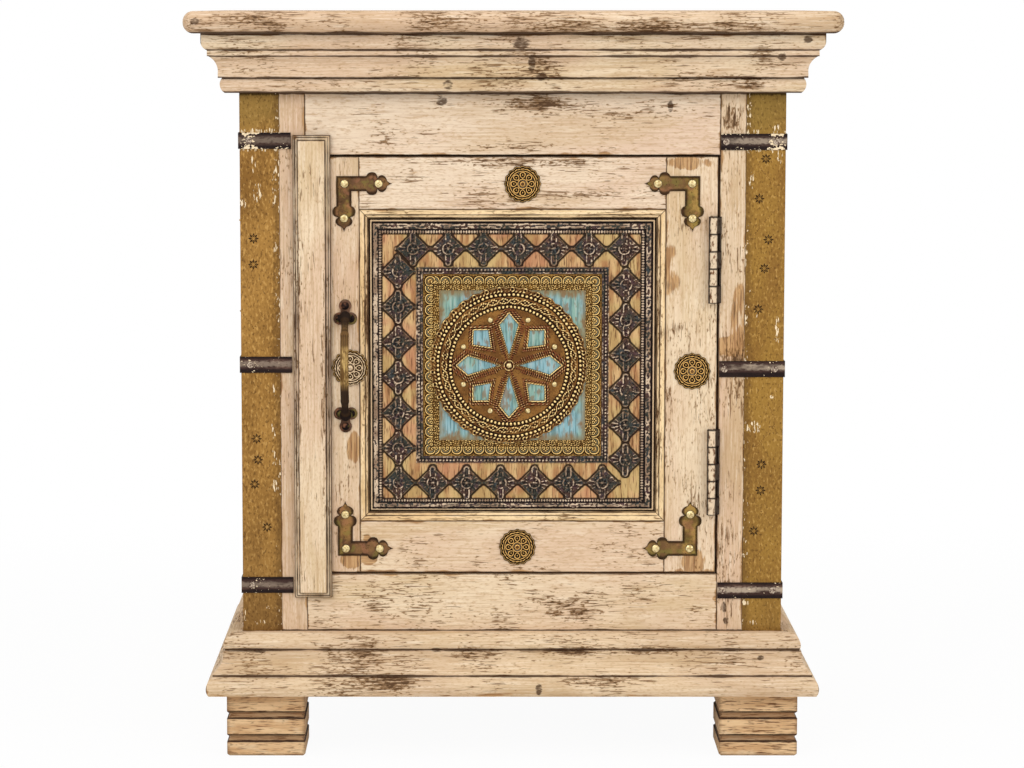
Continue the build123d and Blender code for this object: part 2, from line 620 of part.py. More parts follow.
# ---------------------------------------------------------------------- fittings on the door's face
def cover_batten():
    """Astragal on the free edge: a moulded step all round a raised field."""
    left = -OPENING_X - BATTEN_OVERLAP
    right = left + BATTEN_WIDTH
    low = OPENING_LOW - BATTEN_OVERLAP_BOTTOM
    high = OPENING_HIGH + BATTEN_OVERLAP_TOP
    step = block((left, right), (DOOR_FACE_Y - BATTEN_EDGE_THICKNESS, DOOR_FACE_Y), (low, high))
    step = fillet(step.faces().sort_by(Axis.Y)[0].edges(), BATTEN_ROUND)
    edge = BATTEN_EDGE_WIDTH
    field = block((left + edge, right - edge), (DOOR_FACE_Y - BATTEN_THICKNESS, DOOR_FACE_Y),
                  (low + edge, high - edge))
    field = fillet(field.faces().sort_by(Axis.Y)[0].edges(), BATTEN_ROUND)
    return step + field


def bracket_sketch():
    """Corner bracket in its own plane: two arms from the outer corner, each with two lobes and a tip."""
    middle = BRACKET_ARM_WIDTH / 2
    lobe_at, lobe_radius = BRACKET_LOBE
    tip_at, tip_radius = BRACKET_TIP_LOBE
    tip_half = tip_radius * 0.8
    arm = Pos(lobe_at / 2, middle) * Rectangle(lobe_at, BRACKET_ARM_WIDTH)
    arm += Pos(lobe_at, middle) * Circle(lobe_radius)
    arm += Pos(tip_at, middle) * Circle(tip_radius)
    arm += outline((tip_at, middle - tip_half), (BRACKET_LENGTH, middle), (tip_at, middle + tip_half))
    return arm + mirror(arm, about=Plane(origin=(0, 0, 0), z_dir=(1, -1, 0)))


def bracket_corners():
    """Name, outer corner and inward directions of each bracket."""
    corners = {}
    for tall, z, up in (("top", DOOR_HIGH - BRACKET_INSET_TOP, -1),
                        ("bottom", DOOR_LOW + BRACKET_INSET_BOTTOM, 1)):
        corners[tall + "_left"] = (-DOOR_X + BRACKET_INSET_LEFT, z, 1, up)
        corners[tall + "_right"] = (DOOR_X - BRACKET_INSET_RIGHT, z, -1, up)
    return corners


def bracket(x, z, inward, up):
    plate = extrude(bracket_sketch(), amount=BRACKET_THICKNESS)
    plate = Rot(90, 0, 0) * plate
    if inward < 0:
        plate = mirror(plate, about=Plane.YZ)
    if up < 0:
        plate = mirror(plate, about=Plane.XY)
    return Pos(x, DOOR_FACE_Y, z) * plate


def rosette_places():
    """The rosettes' centres: top, bottom, free edge and hinge edge of the door."""
    return [(ROSETTE_TOP[0], DOOR_HIGH - ROSETTE_TOP[1]),
            (ROSETTE_BOTTOM[0], DOOR_LOW + ROSETTE_BOTTOM[1]),
            (-DOOR_X + ROSETTE_LEFT[0], DOOR_MIDDLE - ROSETTE_LEFT[1]),
            (DOOR_X - ROSETTE_RIGHT[0], DOOR_MIDDLE - ROSETTE_RIGHT[1])]


def rosette(x, z):
    """Round plate with a raised ring, petals and a hub."""
    start = (0, DOOR_FACE_Y, 0)
    plate = rod(start, OUTWARD, ROSETTE_RADIUS, ROSETTE_FLOOR)
    inner = ROSETTE_RADIUS - ROSETTE_RING
    plate += rod(start, OUTWARD, ROSETTE_RADIUS, ROSETTE_HEIGHT) - rod(start, OUTWARD, inner, ROSETTE_HEIGHT)
    plate += rod(start, OUTWARD, ROSETTE_HUB, ROSETTE_HEIGHT)
    petal_middle = (inner + ROSETTE_HUB) / 2
    petal_half = (inner - ROSETTE_HUB) / 2 + ROSETTE_PETAL_LAP
    petal_wide = math.pi * petal_middle / ROSETTE_PETALS * 0.75
    petal = outline((0, petal_middle - petal_half), (petal_wide, petal_middle),
                    (0, petal_middle + petal_half), (-petal_wide, petal_middle))
    lift = (ROSETTE_FLOOR + ROSETTE_HEIGHT) / 2
    leaf = along(petal, start, (1, 0, 0), (0, 0, 1), lift)
    plate += [Rot(0, 360 * number / ROSETTE_PETALS, 0) * leaf for number in range(ROSETTE_PETALS)]
    return Pos(x, 0, z) * plate


def door_nails():
    """Nails of the brackets, three each, and one in the middle of each rosette."""
    middle = BRACKET_ARM_WIDTH / 2
    starts = []
    for x, z, inward, up in bracket_corners().values():
        for across, along_z in ((middle, middle), (BRACKET_NAIL_FAR, middle), (middle, BRACKET_NAIL_FAR)):
            starts.append((x + inward * across, DOOR_FACE_Y - BRACKET_THICKNESS, z + up * along_z))
    starts += [(x, DOOR_FACE_Y - ROSETTE_HEIGHT, z) for x, z in rosette_places()]
    return [dome_nail(start, DOOR_NAIL_RADIUS, DOOR_NAIL_HEIGHT, DOOR_NAIL_SHANK, DOOR_NAIL_LENGTH)
            for start in starts]


# ---------------------------------------------------------------------- handle
HANDLE_X = -DOOR_X + HANDLE_INSET
PLATE_FACE_Y = DOOR_FACE_Y - HANDLE_PLATE_THICKNESS


def handle_plate(up):
    """Three-lobed plate under one end of the grip."""
    foot_z = DOOR_MIDDLE + up * (HANDLE_HALF_SPAN - HANDLE_LOBE_SPREAD / 2)
    lobes = [(HANDLE_X - HANDLE_LOBE_SPREAD, foot_z), (HANDLE_X + HANDLE_LOBE_SPREAD, foot_z),
             (HANDLE_X, foot_z + up * HANDLE_LOBE_RISE)]
    plate = along(outline(*lobes), (0, DOOR_FACE_Y, 0), (1, 0, 0), (0, 0, 1), HANDLE_PLATE_THICKNESS)
    for x, z in lobes:
        plate += rod((x, DOOR_FACE_Y, z), OUTWARD, HANDLE_LOBE_RADIUS, HANDLE_PLATE_THICKNESS)
    return plate


def handle_screws():
    """Two screws from the door's back, through stile and plate, into the grip's ends."""
    length = DOOR_BACK_Y - PLATE_FACE_Y + HANDLE_SCREW_BITE
    screws = []
    for up in (-1, 1):
        end = (HANDLE_X, DOOR_BACK_Y, DOOR_MIDDLE + up * HANDLE_HALF_SPAN)
        shank = rod(end, OUTWARD, HANDLE_SCREW_RADIUS, length)
        screws.append(shank + rod(end, INWARD, HANDLE_SCREW_HEAD, HANDLE_SCREW_HEAD_HEIGHT))
    return screws


def handle_grip():
    """Round bar bowed in an arc between the two plates."""
    radius = (HANDLE_HALF_SPAN ** 2 + HANDLE_BOW ** 2) / (2 * HANDLE_BOW)
    ring = Pos(HANDLE_X, PLATE_FACE_Y - HANDLE_BOW + radius, DOOR_MIDDLE) * Rot(0, 90, 0) * Torus(
        radius, HANDLE_GRIP_RADIUS)
    reach = HANDLE_BOW + 2 * HANDLE_GRIP_RADIUS
    front = block((HANDLE_X - HANDLE_GRIP_RADIUS * 2, HANDLE_X + HANDLE_GRIP_RADIUS * 2),
                  (PLATE_FACE_Y - reach, PLATE_FACE_Y), (DOOR_MIDDLE - 2 * radius, DOOR_MIDDLE + 2 * radius))
    return ring & front


# ---------------------------------------------------------------------- hinges
def leaf_block(on_frame, level, thickness):
    """Plate of one hinge leaf, let into the edge that faces the gap."""
    inner = OPENING_X if on_frame else DOOR_X - thickness
    face = FACE_Y if on_frame else DOOR_FACE_Y
    return block((inner, inner + thickness), (face, face + HINGE_LEAF_DEPTH),
                 (level - HINGE_HALF, level + HINGE_HALF))


def hinge_leaf(on_frame, level):
    """Leaf with its share of the knuckles: the frame's are the odd ones, the door's the even ones."""
    leaf = leaf_block(on_frame, level, HINGE_LEAF_THICKNESS)
    bore = HINGE_PIN_RADIUS + (0 if on_frame else HINGE_PIN_CLEARANCE)
    pitch = HINGE_LENGTH / HINGE_KNUCKLES
    for number in range(0 if on_frame else 1, HINGE_KNUCKLES, 2):
        low = level - HINGE_HALF + number * pitch + (0 if on_frame else KNUCKLE_CLEARANCE)
        high = level - HINGE_HALF + (number + 1) * pitch - (0 if on_frame else KNUCKLE_CLEARANCE)
        if on_frame:
            rear = HINGE_Y + BARREL_RADIUS
            edge = OPENING_X + HINGE_LEAF_THICKNESS
            tongue = block((HINGE_X, edge), (rear - HINGE_LEAF_THICKNESS, rear), (low, high))
            tongue += block((OPENING_X, edge), (rear - HINGE_LEAF_THICKNESS, FACE_Y), (low, high))
        else:
            tongue = block((DOOR_X - HINGE_LEAF_THICKNESS, DOOR_X), (HINGE_Y, DOOR_FACE_Y), (low, high))
        knuckle = rod((HINGE_X, HINGE_Y, low), (0, 0, 1), BARREL_RADIUS, high - low)
        leaf += knuckle + tongue
    return leaf - rod((HINGE_X, HINGE_Y, level - HINGE_HALF), (0, 0, 1), bore, HINGE_LENGTH)


def hinge_pin(level):
    """Pin held in the frame's knuckles, with a button at the top."""
    pin = rod((HINGE_X, HINGE_Y, level - HINGE_HALF), (0, 0, 1), HINGE_PIN_RADIUS, HINGE_LENGTH)
    button_radius = (HINGE_PIN_RADIUS + BARREL_RADIUS) / 2
    return pin + rod((HINGE_X, HINGE_Y, level + HINGE_HALF), (0, 0, 1), button_radius, HINGE_PIN_HEAD)


def hinge_screws(on_frame):
    """Countersunk screws, three to a leaf."""
    direction = (-1, 0, 0) if on_frame else (1, 0, 0)
    x = OPENING_X if on_frame else DOOR_X
    face = FACE_Y if on_frame else DOOR_FACE_Y
    cone = HINGE_SCREW_HEAD - HINGE_SCREW_RADIUS
    section = outline((0, -HINGE_SCREW_LENGTH), (HINGE_SCREW_RADIUS, -HINGE_SCREW_LENGTH),
                      (HINGE_SCREW_RADIUS, -cone), (HINGE_SCREW_HEAD, 0), (0, 0))
    return [turned(section, (x, face + HINGE_SCREW_SETBACK, level + row * HINGE_SCREW_PITCH), direction)
            for level in HINGE_LEVELS for row in (-1, 0, 1)]


# ---------------------------------------------------------------------- catch
CATCH_Z = SHELF_TOP_Z + CATCH_LEVEL


def magnet_catch():
    right = -OPENING_X + CATCH_REACH
    return block((right - CATCH_WIDTH, right), (FRAME_BACK_Y, FRAME_BACK_Y + CATCH_THICKNESS),
                 (CATCH_Z, CATCH_Z + CATCH_HEIGHT))


def strike_plate():
    """Iron plate let into the door's back, opposite the magnet."""
    return block((-DOOR_X, -DOOR_X + STRIKE_WIDTH), (DOOR_BACK_Y - STRIKE_THICKNESS, DOOR_BACK_Y),
                 (CATCH_Z, CATCH_Z + CATCH_HEIGHT))


# ---------------------------------------------------------------------- assembly
def build():
    """Every node's name and its solids."""
    parts = {"top_board": top_board()}

    for name, section, level in (("cornice", cornice_section(), CORNICE_Z),
                                 ("base", base_section(), BASE_Z)):
        for side, piece in zip(("front", "left", "right"), applied_moulding(section, level)):
            parts[name + "_" + side] = piece

    left_screws, right_screws = [], []
    left_straps, right_straps = [], []
    for level in STRAP_LEVELS_LEFT:
        screws = strap_screws(STRAP_REACH_LEFT, level, False)
        left_straps.append(drilled(strap(STRAP_REACH_LEFT, level), screws))
        left_screws += screws
    for level in STRAP_LEVELS_RIGHT:
        screws = strap_screws(STRAP_REACH_RIGHT, level, True)
        right_straps.append(other_side(drilled(strap(STRAP_REACH_RIGHT, level), screws)))
        right_screws += [other_side(screw) for screw in screws]
    parts["straps_left"] = left_straps
    parts["straps_right"] = right_straps
    parts["strap_screws"] = left_screws + right_screws

    parts["post_front_left"] = drilled(front_post(), left_screws)
    parts["post_front_right"] = drilled(other_side(front_post()), right_screws)
    parts["post_sleeve_left"] = drilled(sleeve(), left_screws)
    parts["post_sleeve_right"] = drilled(other_side(sleeve()), right_screws)
    parts["post_back_left"] = back_post()
    parts["post_back_right"] = other_side(back_post())

    frame_screws = hinge_screws(True)
    frame_leaves = [hinge_leaf(True, level) for level in HINGE_LEVELS]
    parts["stile_left"] = face_stile()
    parts["stile_right"] = drilled(other_side(face_stile()), right_screws + frame_screws + frame_leaves)
    parts["rail_top"] = face_rail(OPENING_HIGH, CARCASS_TOP_Z)
    parts["rail_bottom"] = face_rail(BASE_Z, OPENING_LOW)

    parts["side_rails_left"] = side_rails()
    parts["side_rails_right"] = [other_side(rail) for rail in side_rails()]
    parts["side_panel_left"] = side_panel()
    parts["side_panel_right"] = other_side(side_panel())
    parts["back_panel"] = back_panel()
    parts["bottom_board"] = notched_board(FRAME_BACK_Y, OPENING_LOW)
    parts["shelf"] = notched_board(FRAME_BACK_Y + SHELF_SETBACK, SHELF_TOP_Z)
    parts["cleats"] = cleats()
    for row, front in (("front", True), ("back", False)):
        parts["foot_" + row + "_left"] = foot(front)
        parts["foot_" + row + "_right"] = other_side(foot(front))
    parts["magnet_catch"] = magnet_catch()

    parts["hinge_leaves_frame"] = [drilled(leaf, frame_screws) for leaf in frame_leaves]
    parts["hinge_screws_frame"] = frame_screws
    parts["hinge_pins"] = [hinge_pin(level) for level in HINGE_LEVELS]

    door_screws = hinge_screws(False)
    door_leaves = [hinge_leaf(False, level) for level in HINGE_LEVELS]
    parts["hinge_leaves_door"] = [drilled(leaf, door_screws) for leaf in door_leaves]
    parts["hinge_screws_door"] = door_screws

    nails = door_nails()
    pulls = handle_screws()
    tongue = panel_tongue()
    parts["door_stile_left"] = drilled(door_stile(True), nails + pulls + [tongue, strike_plate()])
    parts["door_stile_right"] = drilled(door_stile(False), nails + door_screws + door_leaves + [tongue])
    parts["door_rail_top"] = drilled(door_rail(DOOR_MIDDLE + SIGHT_Z, DOOR_HIGH), nails + [tongue])
    parts["door_rail_bottom"] = drilled(door_rail(DOOR_LOW, DOOR_MIDDLE - SIGHT_Z), nails + [tongue])
    parts["strike_plate"] = strike_plate()
    parts["panel_strips"] = panel_strips()

    panel_nails = medallion_nails()
    parts["carved_panel"] = drilled(carved_panel(), panel_nails)
    parts["brass_frieze"] = brass_frieze()
    parts["medallion"] = drilled(medallion(), panel_nails)
    parts["medallion_nails"] = panel_nails

    parts["cover_batten"] = cover_batten()
    for name, place in bracket_corners().items():
        parts["bracket_" + name] = drilled(bracket(*place), nails)
    parts["rosettes"] = [drilled(rosette(x, z), nails) for x, z in rosette_places()]
    parts["door_nails"] = nails
    parts["handle_plate_top"] = drilled(handle_plate(1), pulls)
    parts["handle_plate_bottom"] = drilled(handle_plate(-1), pulls)
    parts["handle_grip"] = drilled(handle_grip(), pulls)
    parts["handle_screws"] = pulls
    return parts


os.makedirs("parts", exist_ok=True)
for node, shape in build().items():
    solids = shape if isinstance(shape, list) else [shape]
    bodies = [solid for piece in solids for solid in piece.solids()]
    export_step(Compound(bodies) if len(bodies) > 1 else bodies[0], "parts/" + node + ".step")
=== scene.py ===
"""Dressing for a small painted cabinet: brass-clad posts, iron straps and a carved door with a medallion.

Sizes in this script are millimetres, and meshes are turned into metres where they are made. The floor, the
lamps and the camera are given in metres. X runs to the right, Y to the back and Z up, as in the frame.
"""

import math

import bpy
import numpy as np
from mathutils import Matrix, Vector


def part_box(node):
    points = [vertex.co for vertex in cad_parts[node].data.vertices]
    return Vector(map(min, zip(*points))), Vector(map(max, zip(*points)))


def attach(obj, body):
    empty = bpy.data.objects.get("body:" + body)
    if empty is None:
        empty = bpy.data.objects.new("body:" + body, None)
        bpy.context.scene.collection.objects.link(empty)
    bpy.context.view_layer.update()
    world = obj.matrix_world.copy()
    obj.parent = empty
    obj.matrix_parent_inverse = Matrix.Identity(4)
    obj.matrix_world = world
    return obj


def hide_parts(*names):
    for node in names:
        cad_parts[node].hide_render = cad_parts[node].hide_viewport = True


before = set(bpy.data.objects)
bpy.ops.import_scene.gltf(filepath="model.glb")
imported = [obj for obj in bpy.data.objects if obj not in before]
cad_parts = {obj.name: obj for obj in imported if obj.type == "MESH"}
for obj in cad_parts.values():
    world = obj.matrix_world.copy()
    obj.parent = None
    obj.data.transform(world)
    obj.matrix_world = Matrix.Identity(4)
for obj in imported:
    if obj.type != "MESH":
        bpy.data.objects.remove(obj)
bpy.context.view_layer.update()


# --- Feet -------------------------------------------------------------------------------------------------
# Four square blocks of bare mango wood with two sawn grooves round them, glued and screwed under the corners.
# They keep only rubbed traces of the paint that the rest of the cabinet wears.

def colour(red, green, blue):
    """A screen colour, 0 to 255 a channel, as the linear colour and full alpha that a shader takes: by the
    screen's own curve, a power of 2.4 with a straight foot."""
    screen = np.array([red, green, blue]) / 255
    linear = np.where(screen <= 0.04045, screen / 12.92, ((screen + 0.055) / 1.055) ** 2.4)
    return (*linear.tolist(), 1.0)


class Amount:
    """One shader socket; each operator used on it adds a Math node to its tree."""

    def __init__(self, tree, socket):
        self.tree = tree
        self.socket = socket

    def math(self, operation, *inputs):
        """A Math node doing that operation on its inputs, in their order."""
        return self.tree.node("ShaderNodeMath", {"operation": operation}, dict(enumerate(inputs)))

    def __add__(self, other):
        return self.math("ADD", self, other)

    def __radd__(self, other):
        return self.math("ADD", other, self)

    def __sub__(self, other):
        return self.math("SUBTRACT", self, other)

    def __rsub__(self, other):
        return self.math("SUBTRACT", other, self)

    def __mul__(self, other):
        return self.math("MULTIPLY", self, other)

    def __rmul__(self, other):
        return self.math("MULTIPLY", other, self)

    def __truediv__(self, other):
        return self.math("DIVIDE", self, other)

    def __abs__(self):
        return self.math("ABSOLUTE", self)

    def least(self, other):
        """The smaller of the two."""
        return self.math("MINIMUM", self, other)

    def most(self, other):
        """The larger of the two."""
        return self.math("MAXIMUM", self, other)

    def fold(self, pitch):
        """Distance from the nearest whole multiple of the pitch."""
        return self.math("PINGPONG", self, pitch / 2)

    def rise(self, low, high):
        """0 at low, 1 at high, with a smooth S between; low may be the larger one."""
        return self.tree.node("ShaderNodeMapRange", {"interpolation_type": "SMOOTHSTEP"},
                              {"Value": self, "From Min": low, "From Max": high})


class Tree:
    """A node tree, and the one way that this script adds nodes to it."""

    def __init__(self, tree):
        self.tree = tree

    def node(self, kind, settings=None, sockets=None, output=0):
        """Adds a node, sets its own settings, then gives its sockets values or links."""
        made = self.tree.nodes.new(kind)
        for name, value in (settings or {}).items():
            setattr(made, name, value)
        for name, value in (sockets or {}).items():
            self.feed(made.inputs[name], value)
        return Amount(self, made.outputs[output])

    def feed(self, socket, value):
        """Links an Amount to the socket, or sets the socket to a plain value."""
        if isinstance(value, Amount):
            self.tree.links.new(value.socket, socket)
        else:
            socket.default_value = value


class Finish(Tree):
    """One material: where a point of the piece is, and the sockets of its shader. Old paint, raw wood and
    tarnished metal shine little, so the plain part of the gloss is low."""

    def __init__(self, name, gloss=0.12):
        self.material = bpy.data.materials.new(name)
        self.material.use_nodes = True
        super().__init__(self.material.node_tree)
        self.shader = self.tree.nodes["Principled BSDF"]
        self.shader.inputs["Specular IOR Level"].default_value = gloss
        self.spot = self.node("ShaderNodeTexCoord", output="Object")
        self.place = self.spot

    def blotches(self, size, grain="", long=1.0, seed=0, detail=3.0, warp=0.0):
        """Cloudy noise about 0.5, its blotches `size` across and `long` times that along the grain; each seed
        moves it elsewhere, so no two pieces are alike."""
        scale = [1000 / size] * 3
        if grain:
            scale["XYZ".index(grain)] /= long
        shift = (1.7 * seed, 2.3 * seed + 11, 0.9 * seed + 5)
        where = self.node("ShaderNodeMapping", None,
                          {"Vector": self.place, "Location": shift, "Scale": scale})
        return self.node("ShaderNodeTexNoise", None,
                         {"Vector": where, "Scale": 1.0, "Detail": detail, "Distortion": warp})

    def axes(self):
        """The three coordinates of a point of the piece, in millimetres."""
        apart = self.node("ShaderNodeSeparateXYZ", None, {0: self.spot})
        outputs = apart.socket.node.outputs
        return [Amount(self, outputs[name]) * 1000 for name in "XYZ"]

    def mix(self, amount, first, second):
        """The first colour or vector where the amount is 0, the second where it is 1, a blend between."""
        return self.node("ShaderNodeMix", {"data_type": "RGBA", "clamp_factor": True},
                         {0: amount, 6: first, 7: second}, output=2)

    def bump(self, height, depth, under=None):
        """A Bump node: height 0 to 1 stands for `depth` millimetres."""
        sockets = {"Height": height, "Distance": depth / 1000}
        if under is not None:
            sockets["Normal"] = under
        return self.node("ShaderNodeBump", None, sockets)

    def shade(self, **sockets):
        """Feeds the shader; an underscore in a name stands for a space."""
        for name, value in sockets.items():
            self.feed(self.shader.inputs[name.replace("_", " ")], value)
        return self.material


def dress(nodes, material):
    """Gives CAD nodes one material in every slot they have."""
    for name in nodes:
        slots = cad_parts[name].material_slots
        if not slots:
            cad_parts[name].data.materials.append(material)
        for slot in slots:
            slot.link = "OBJECT"
            slot.material = material


def near_edge(finish, node):
    """Distance in millimetres to the nearest edge of the node's box: the middle one of the three distances
    to its faces, because on a face the smallest is nought and on an edge the middle one is too."""
    low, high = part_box(node)
    away = []
    for axis, value in enumerate(finish.axes()):
        away.append((value - low[axis] * 1000).least(high[axis] * 1000 - value))
    x, y, z = away
    return x.least(y).most(x.most(y).least(z))


def wood_colours(finish, grain, seed, pale, mid, dark):
    """Raw wood, its colour and its pores: pale and mid bands along the grain with thin dark pores between."""
    bands = finish.blotches(7, grain, 9, seed, detail=4, warp=0.4)
    pores = finish.blotches(0.9, grain, 16, seed + 3, detail=3)
    bands = finish.mix(bands.rise(0.36, 0.62), pale, mid)
    return finish.mix(pores.rise(0.53, 0.68), bands, dark), pores


FOOT_GROOVES = (16.0, 36.5)
RIM_BELOW, RIM_ABOVE = 2.9, 2.8      # from a groove's middle


def foot_finish(node, seed):
    """Bare wood, painted shade in its grooves, dark at the floor, cream paint left in thin patches."""
    finish = Finish(f"foot_wood_{seed}")
    wood, pores = wood_colours(finish, "X", seed, colour(228, 194, 150), colour(202, 162, 118),
                               colour(96, 60, 34))
    z = finish.axes()[2]
    paint_left = (finish.blotches(9, "X", 3, seed + 7, detail=5) - z * 0.002).rise(0.5, 0.62)
    body = finish.mix(paint_left * 0.6, wood, colour(228, 202, 164))
    grime = finish.blotches(3, "X", 3, seed + 9, detail=4)
    body = finish.mix(grime.rise(0.58, 0.7) * 0.6, body, colour(96, 60, 34))
    # painted shade in each groove: a mid-brown band across it and dark lines along both its rims
    for level in FOOT_GROOVES:
        groove_shade = z.rise(level - RIM_BELOW - 1.7, level - RIM_BELOW + 0.3)
        groove_shade = groove_shade * z.rise(level + RIM_ABOVE + 0.8, level + RIM_ABOVE - 0.4)
        body = finish.mix(groove_shade * 0.5, body, colour(110, 70, 42))
        for rim in (level - RIM_BELOW, level + RIM_ABOVE):
            body = finish.mix((abs(z - rim) + grime * 1.6).rise(2.0, 1.2) * 0.92, body, colour(40, 22, 14))
    edge = near_edge(finish, node)
    rubbed = (edge + grime * 6).rise(6.2, 2.2)
    body = finish.mix(rubbed * 0.55, body, colour(86, 56, 38))
    return finish.shade(Base_Color=body, Roughness=0.58 + pores * 0.2,
                        Normal=finish.bump(pores, 0.35, finish.bump(grime, 0.5)))


for seed, node in enumerate(("foot_front_left", "foot_front_right", "foot_back_left", "foot_back_right")):
    dress([node], foot_finish(node, seed + 1))


# --- Frame, sides and rails -------------------------------------------------------------------------------
# Planed softwood members in thick cream milk paint over an orange-brown wood. The paint is brushed along the
# grain, has cracked along it, and is rubbed through at the edges and in patches.

CREAM = colour(228, 205, 173)
PINKISH = colour(219, 190, 160)
YELLOWED = colour(206, 178, 136)
PLAIN = (CREAM, PINKISH, YELLOWED)
BARE_WOOD = colour(192, 148, 96)
BARE_DARK = colour(150, 105, 61)
CRACK = colour(122, 88, 52)
CRACK_DEEP = colour(66, 42, 24)


def patch_at(x, z, spot):
    """An ellipse on the front, given as (x, z, half width, half height): with the distance from its middle
    counted in half widths and half heights, its square rises from 0.1 to 1 as this falls from 1 to 0."""
    across = (x - spot[0]) / spot[2]
    up = (z - spot[1]) / spot[3]
    return (across * across + up * up).rise(1.0, 0.1)


def old_paint(node, grain, seed, wear=0.0, cracks=0.0, tones=PLAIN, place=None, quirks=(), rubs=(), knots=(),
              dried=(), step=(), mitred=False):
    """Paints a CAD node cream, with drifting tone, brush lines, cracks along the grain, and wood where it is
    rubbed away. wear and cracks move the thresholds: 0 is a well kept board, 0.1 a badly worn one. quirks are
    levels of lines of painted shade round a moulding. rubs, knots and dried, where the paint has cracked
    most, are ellipses on the front, and step gives the distances from the edge to lines of painted shade
    that run all round; a mitred frame also has a dark joint line across each corner. Every edge of the
    node's box has a dark line, part dirt and part painted shade in the gap beside it. place gives the
    position that the pattern follows."""
    finish = Finish(f"paint_{node}")
    if place is not None:
        finish.place = place(finish)
    x, _, z = finish.axes()
    drift = finish.blotches(70, grain, 2.5, seed, detail=3)
    body = finish.mix(drift.rise(0.42, 0.62), tones[0], tones[1])
    yellow = finish.blotches(34, grain, 4, seed + 1, detail=4)
    body = finish.mix(yellow.rise(0.5, 0.68) * 0.7, body, tones[2])
    brush = finish.blotches(1.5, grain, 22, seed + 2, detail=4)
    body = finish.mix(brush.rise(0.5, 0.72) * 0.45, body, colour(170, 132, 92))
    body = finish.mix(brush.rise(0.48, 0.3) * 0.4, body, colour(243, 228, 204))
    patch = finish.blotches(26, grain, 1.8, seed + 3, detail=5)
    lines = finish.blotches(1.3, grain, 13, seed + 4, detail=4, warp=0.2)
    crackle = finish.blotches(1.3, grain, 3.2, seed + 5, detail=5)
    body = finish.mix(crackle.rise(0.48, 0.66) * 0.5, body, colour(192, 156, 116))
    dry = patch * 0.5
    for spot in dried:
        dry = dry + patch_at(x, z, spot) * 0.1
    split = (lines + dry).rise(0.875 - cracks, 0.955 - cracks)
    chipped = (crackle + dry).rise(0.9 - cracks, 0.98 - cracks)
    stain = (dry + crackle * 0.3).rise(0.46 - cracks, 0.68 - cracks)
    body = finish.mix(stain * 0.45, body, colour(172, 134, 94))
    ragged = finish.blotches(8, grain, 3, seed + 6, detail=6)
    edge = near_edge(finish, node)
    worn_edge = (edge + ragged * 14).rise(7.8 + wear * 20, 6.2 + wear * 20)
    rubbed_at = patch * 0.4 + ragged * 0.5 + lines * 0.3
    for spot in rubs:
        rubbed_at = rubbed_at + patch_at(x, z, spot) * 0.29
    worn = worn_edge.most(rubbed_at.rise(0.76 - wear, 0.82 - wear))
    wood = finish.mix(brush.rise(0.42, 0.62), BARE_WOOD, BARE_DARK)
    wood = finish.mix(lines.rise(0.56, 0.66) * 0.7, wood, CRACK_DEEP)
    body = finish.mix(worn * 0.85, body, wood)
    body = finish.mix(split.most(chipped) * 0.8, body, CRACK)
    deep = (lines * 0.5 + crackle * 0.5 + dry).rise(0.93 - cracks, 1.0 - cracks)
    body = finish.mix(deep * 0.8, body, CRACK_DEEP)
    for spot in knots:
        knot = patch_at(x, z, spot) * 0.5 + ragged * 0.5 + crackle * 0.6
        body = finish.mix(knot.rise(0.86, 1.06) * 0.85, body, CRACK_DEEP)
    # edge lines, part dirt and part painted shade in joints; lines of painted shade at quirks and steps
    seam_and_shade = (edge + ragged * 1.6).rise(1.8, 0.9)
    for level in quirks:
        seam_and_shade = seam_and_shade.most((abs(z - level) + ragged * 2.4 - patch * 1.4).rise(1.9, 1.0))
    if step:
        low, high = (np.array(corner) * 1000 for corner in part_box(node))
        from_side, from_end = (x - low[0]).least(high[0] - x), (z - low[2]).least(high[2] - z)
        rim = from_side.least(from_end)
        seam_and_shade = seam_and_shade.most((rim + ragged).rise(1.7, 0.8))
        for level in step:
            seam_and_shade = seam_and_shade.most((abs(rim - level) + ragged * 1.8).rise(1.8, 1.0))
        if mitred:
            seam_and_shade = seam_and_shade.most((abs(from_side - from_end) + ragged).rise(1.3, 0.6))
    # the joint lines and the painted shade go on in one dark brown
    body = finish.mix(seam_and_shade * 0.9, body, colour(58, 34, 18))
    film = 1 - worn.most(chipped.most(split))
    height = film * 0.6 + brush * 0.4
    finish.shade(Base_Color=body, Roughness=0.5 + brush * 0.25, Normal=finish.bump(height, 0.3))
    dress([node], finish.material)


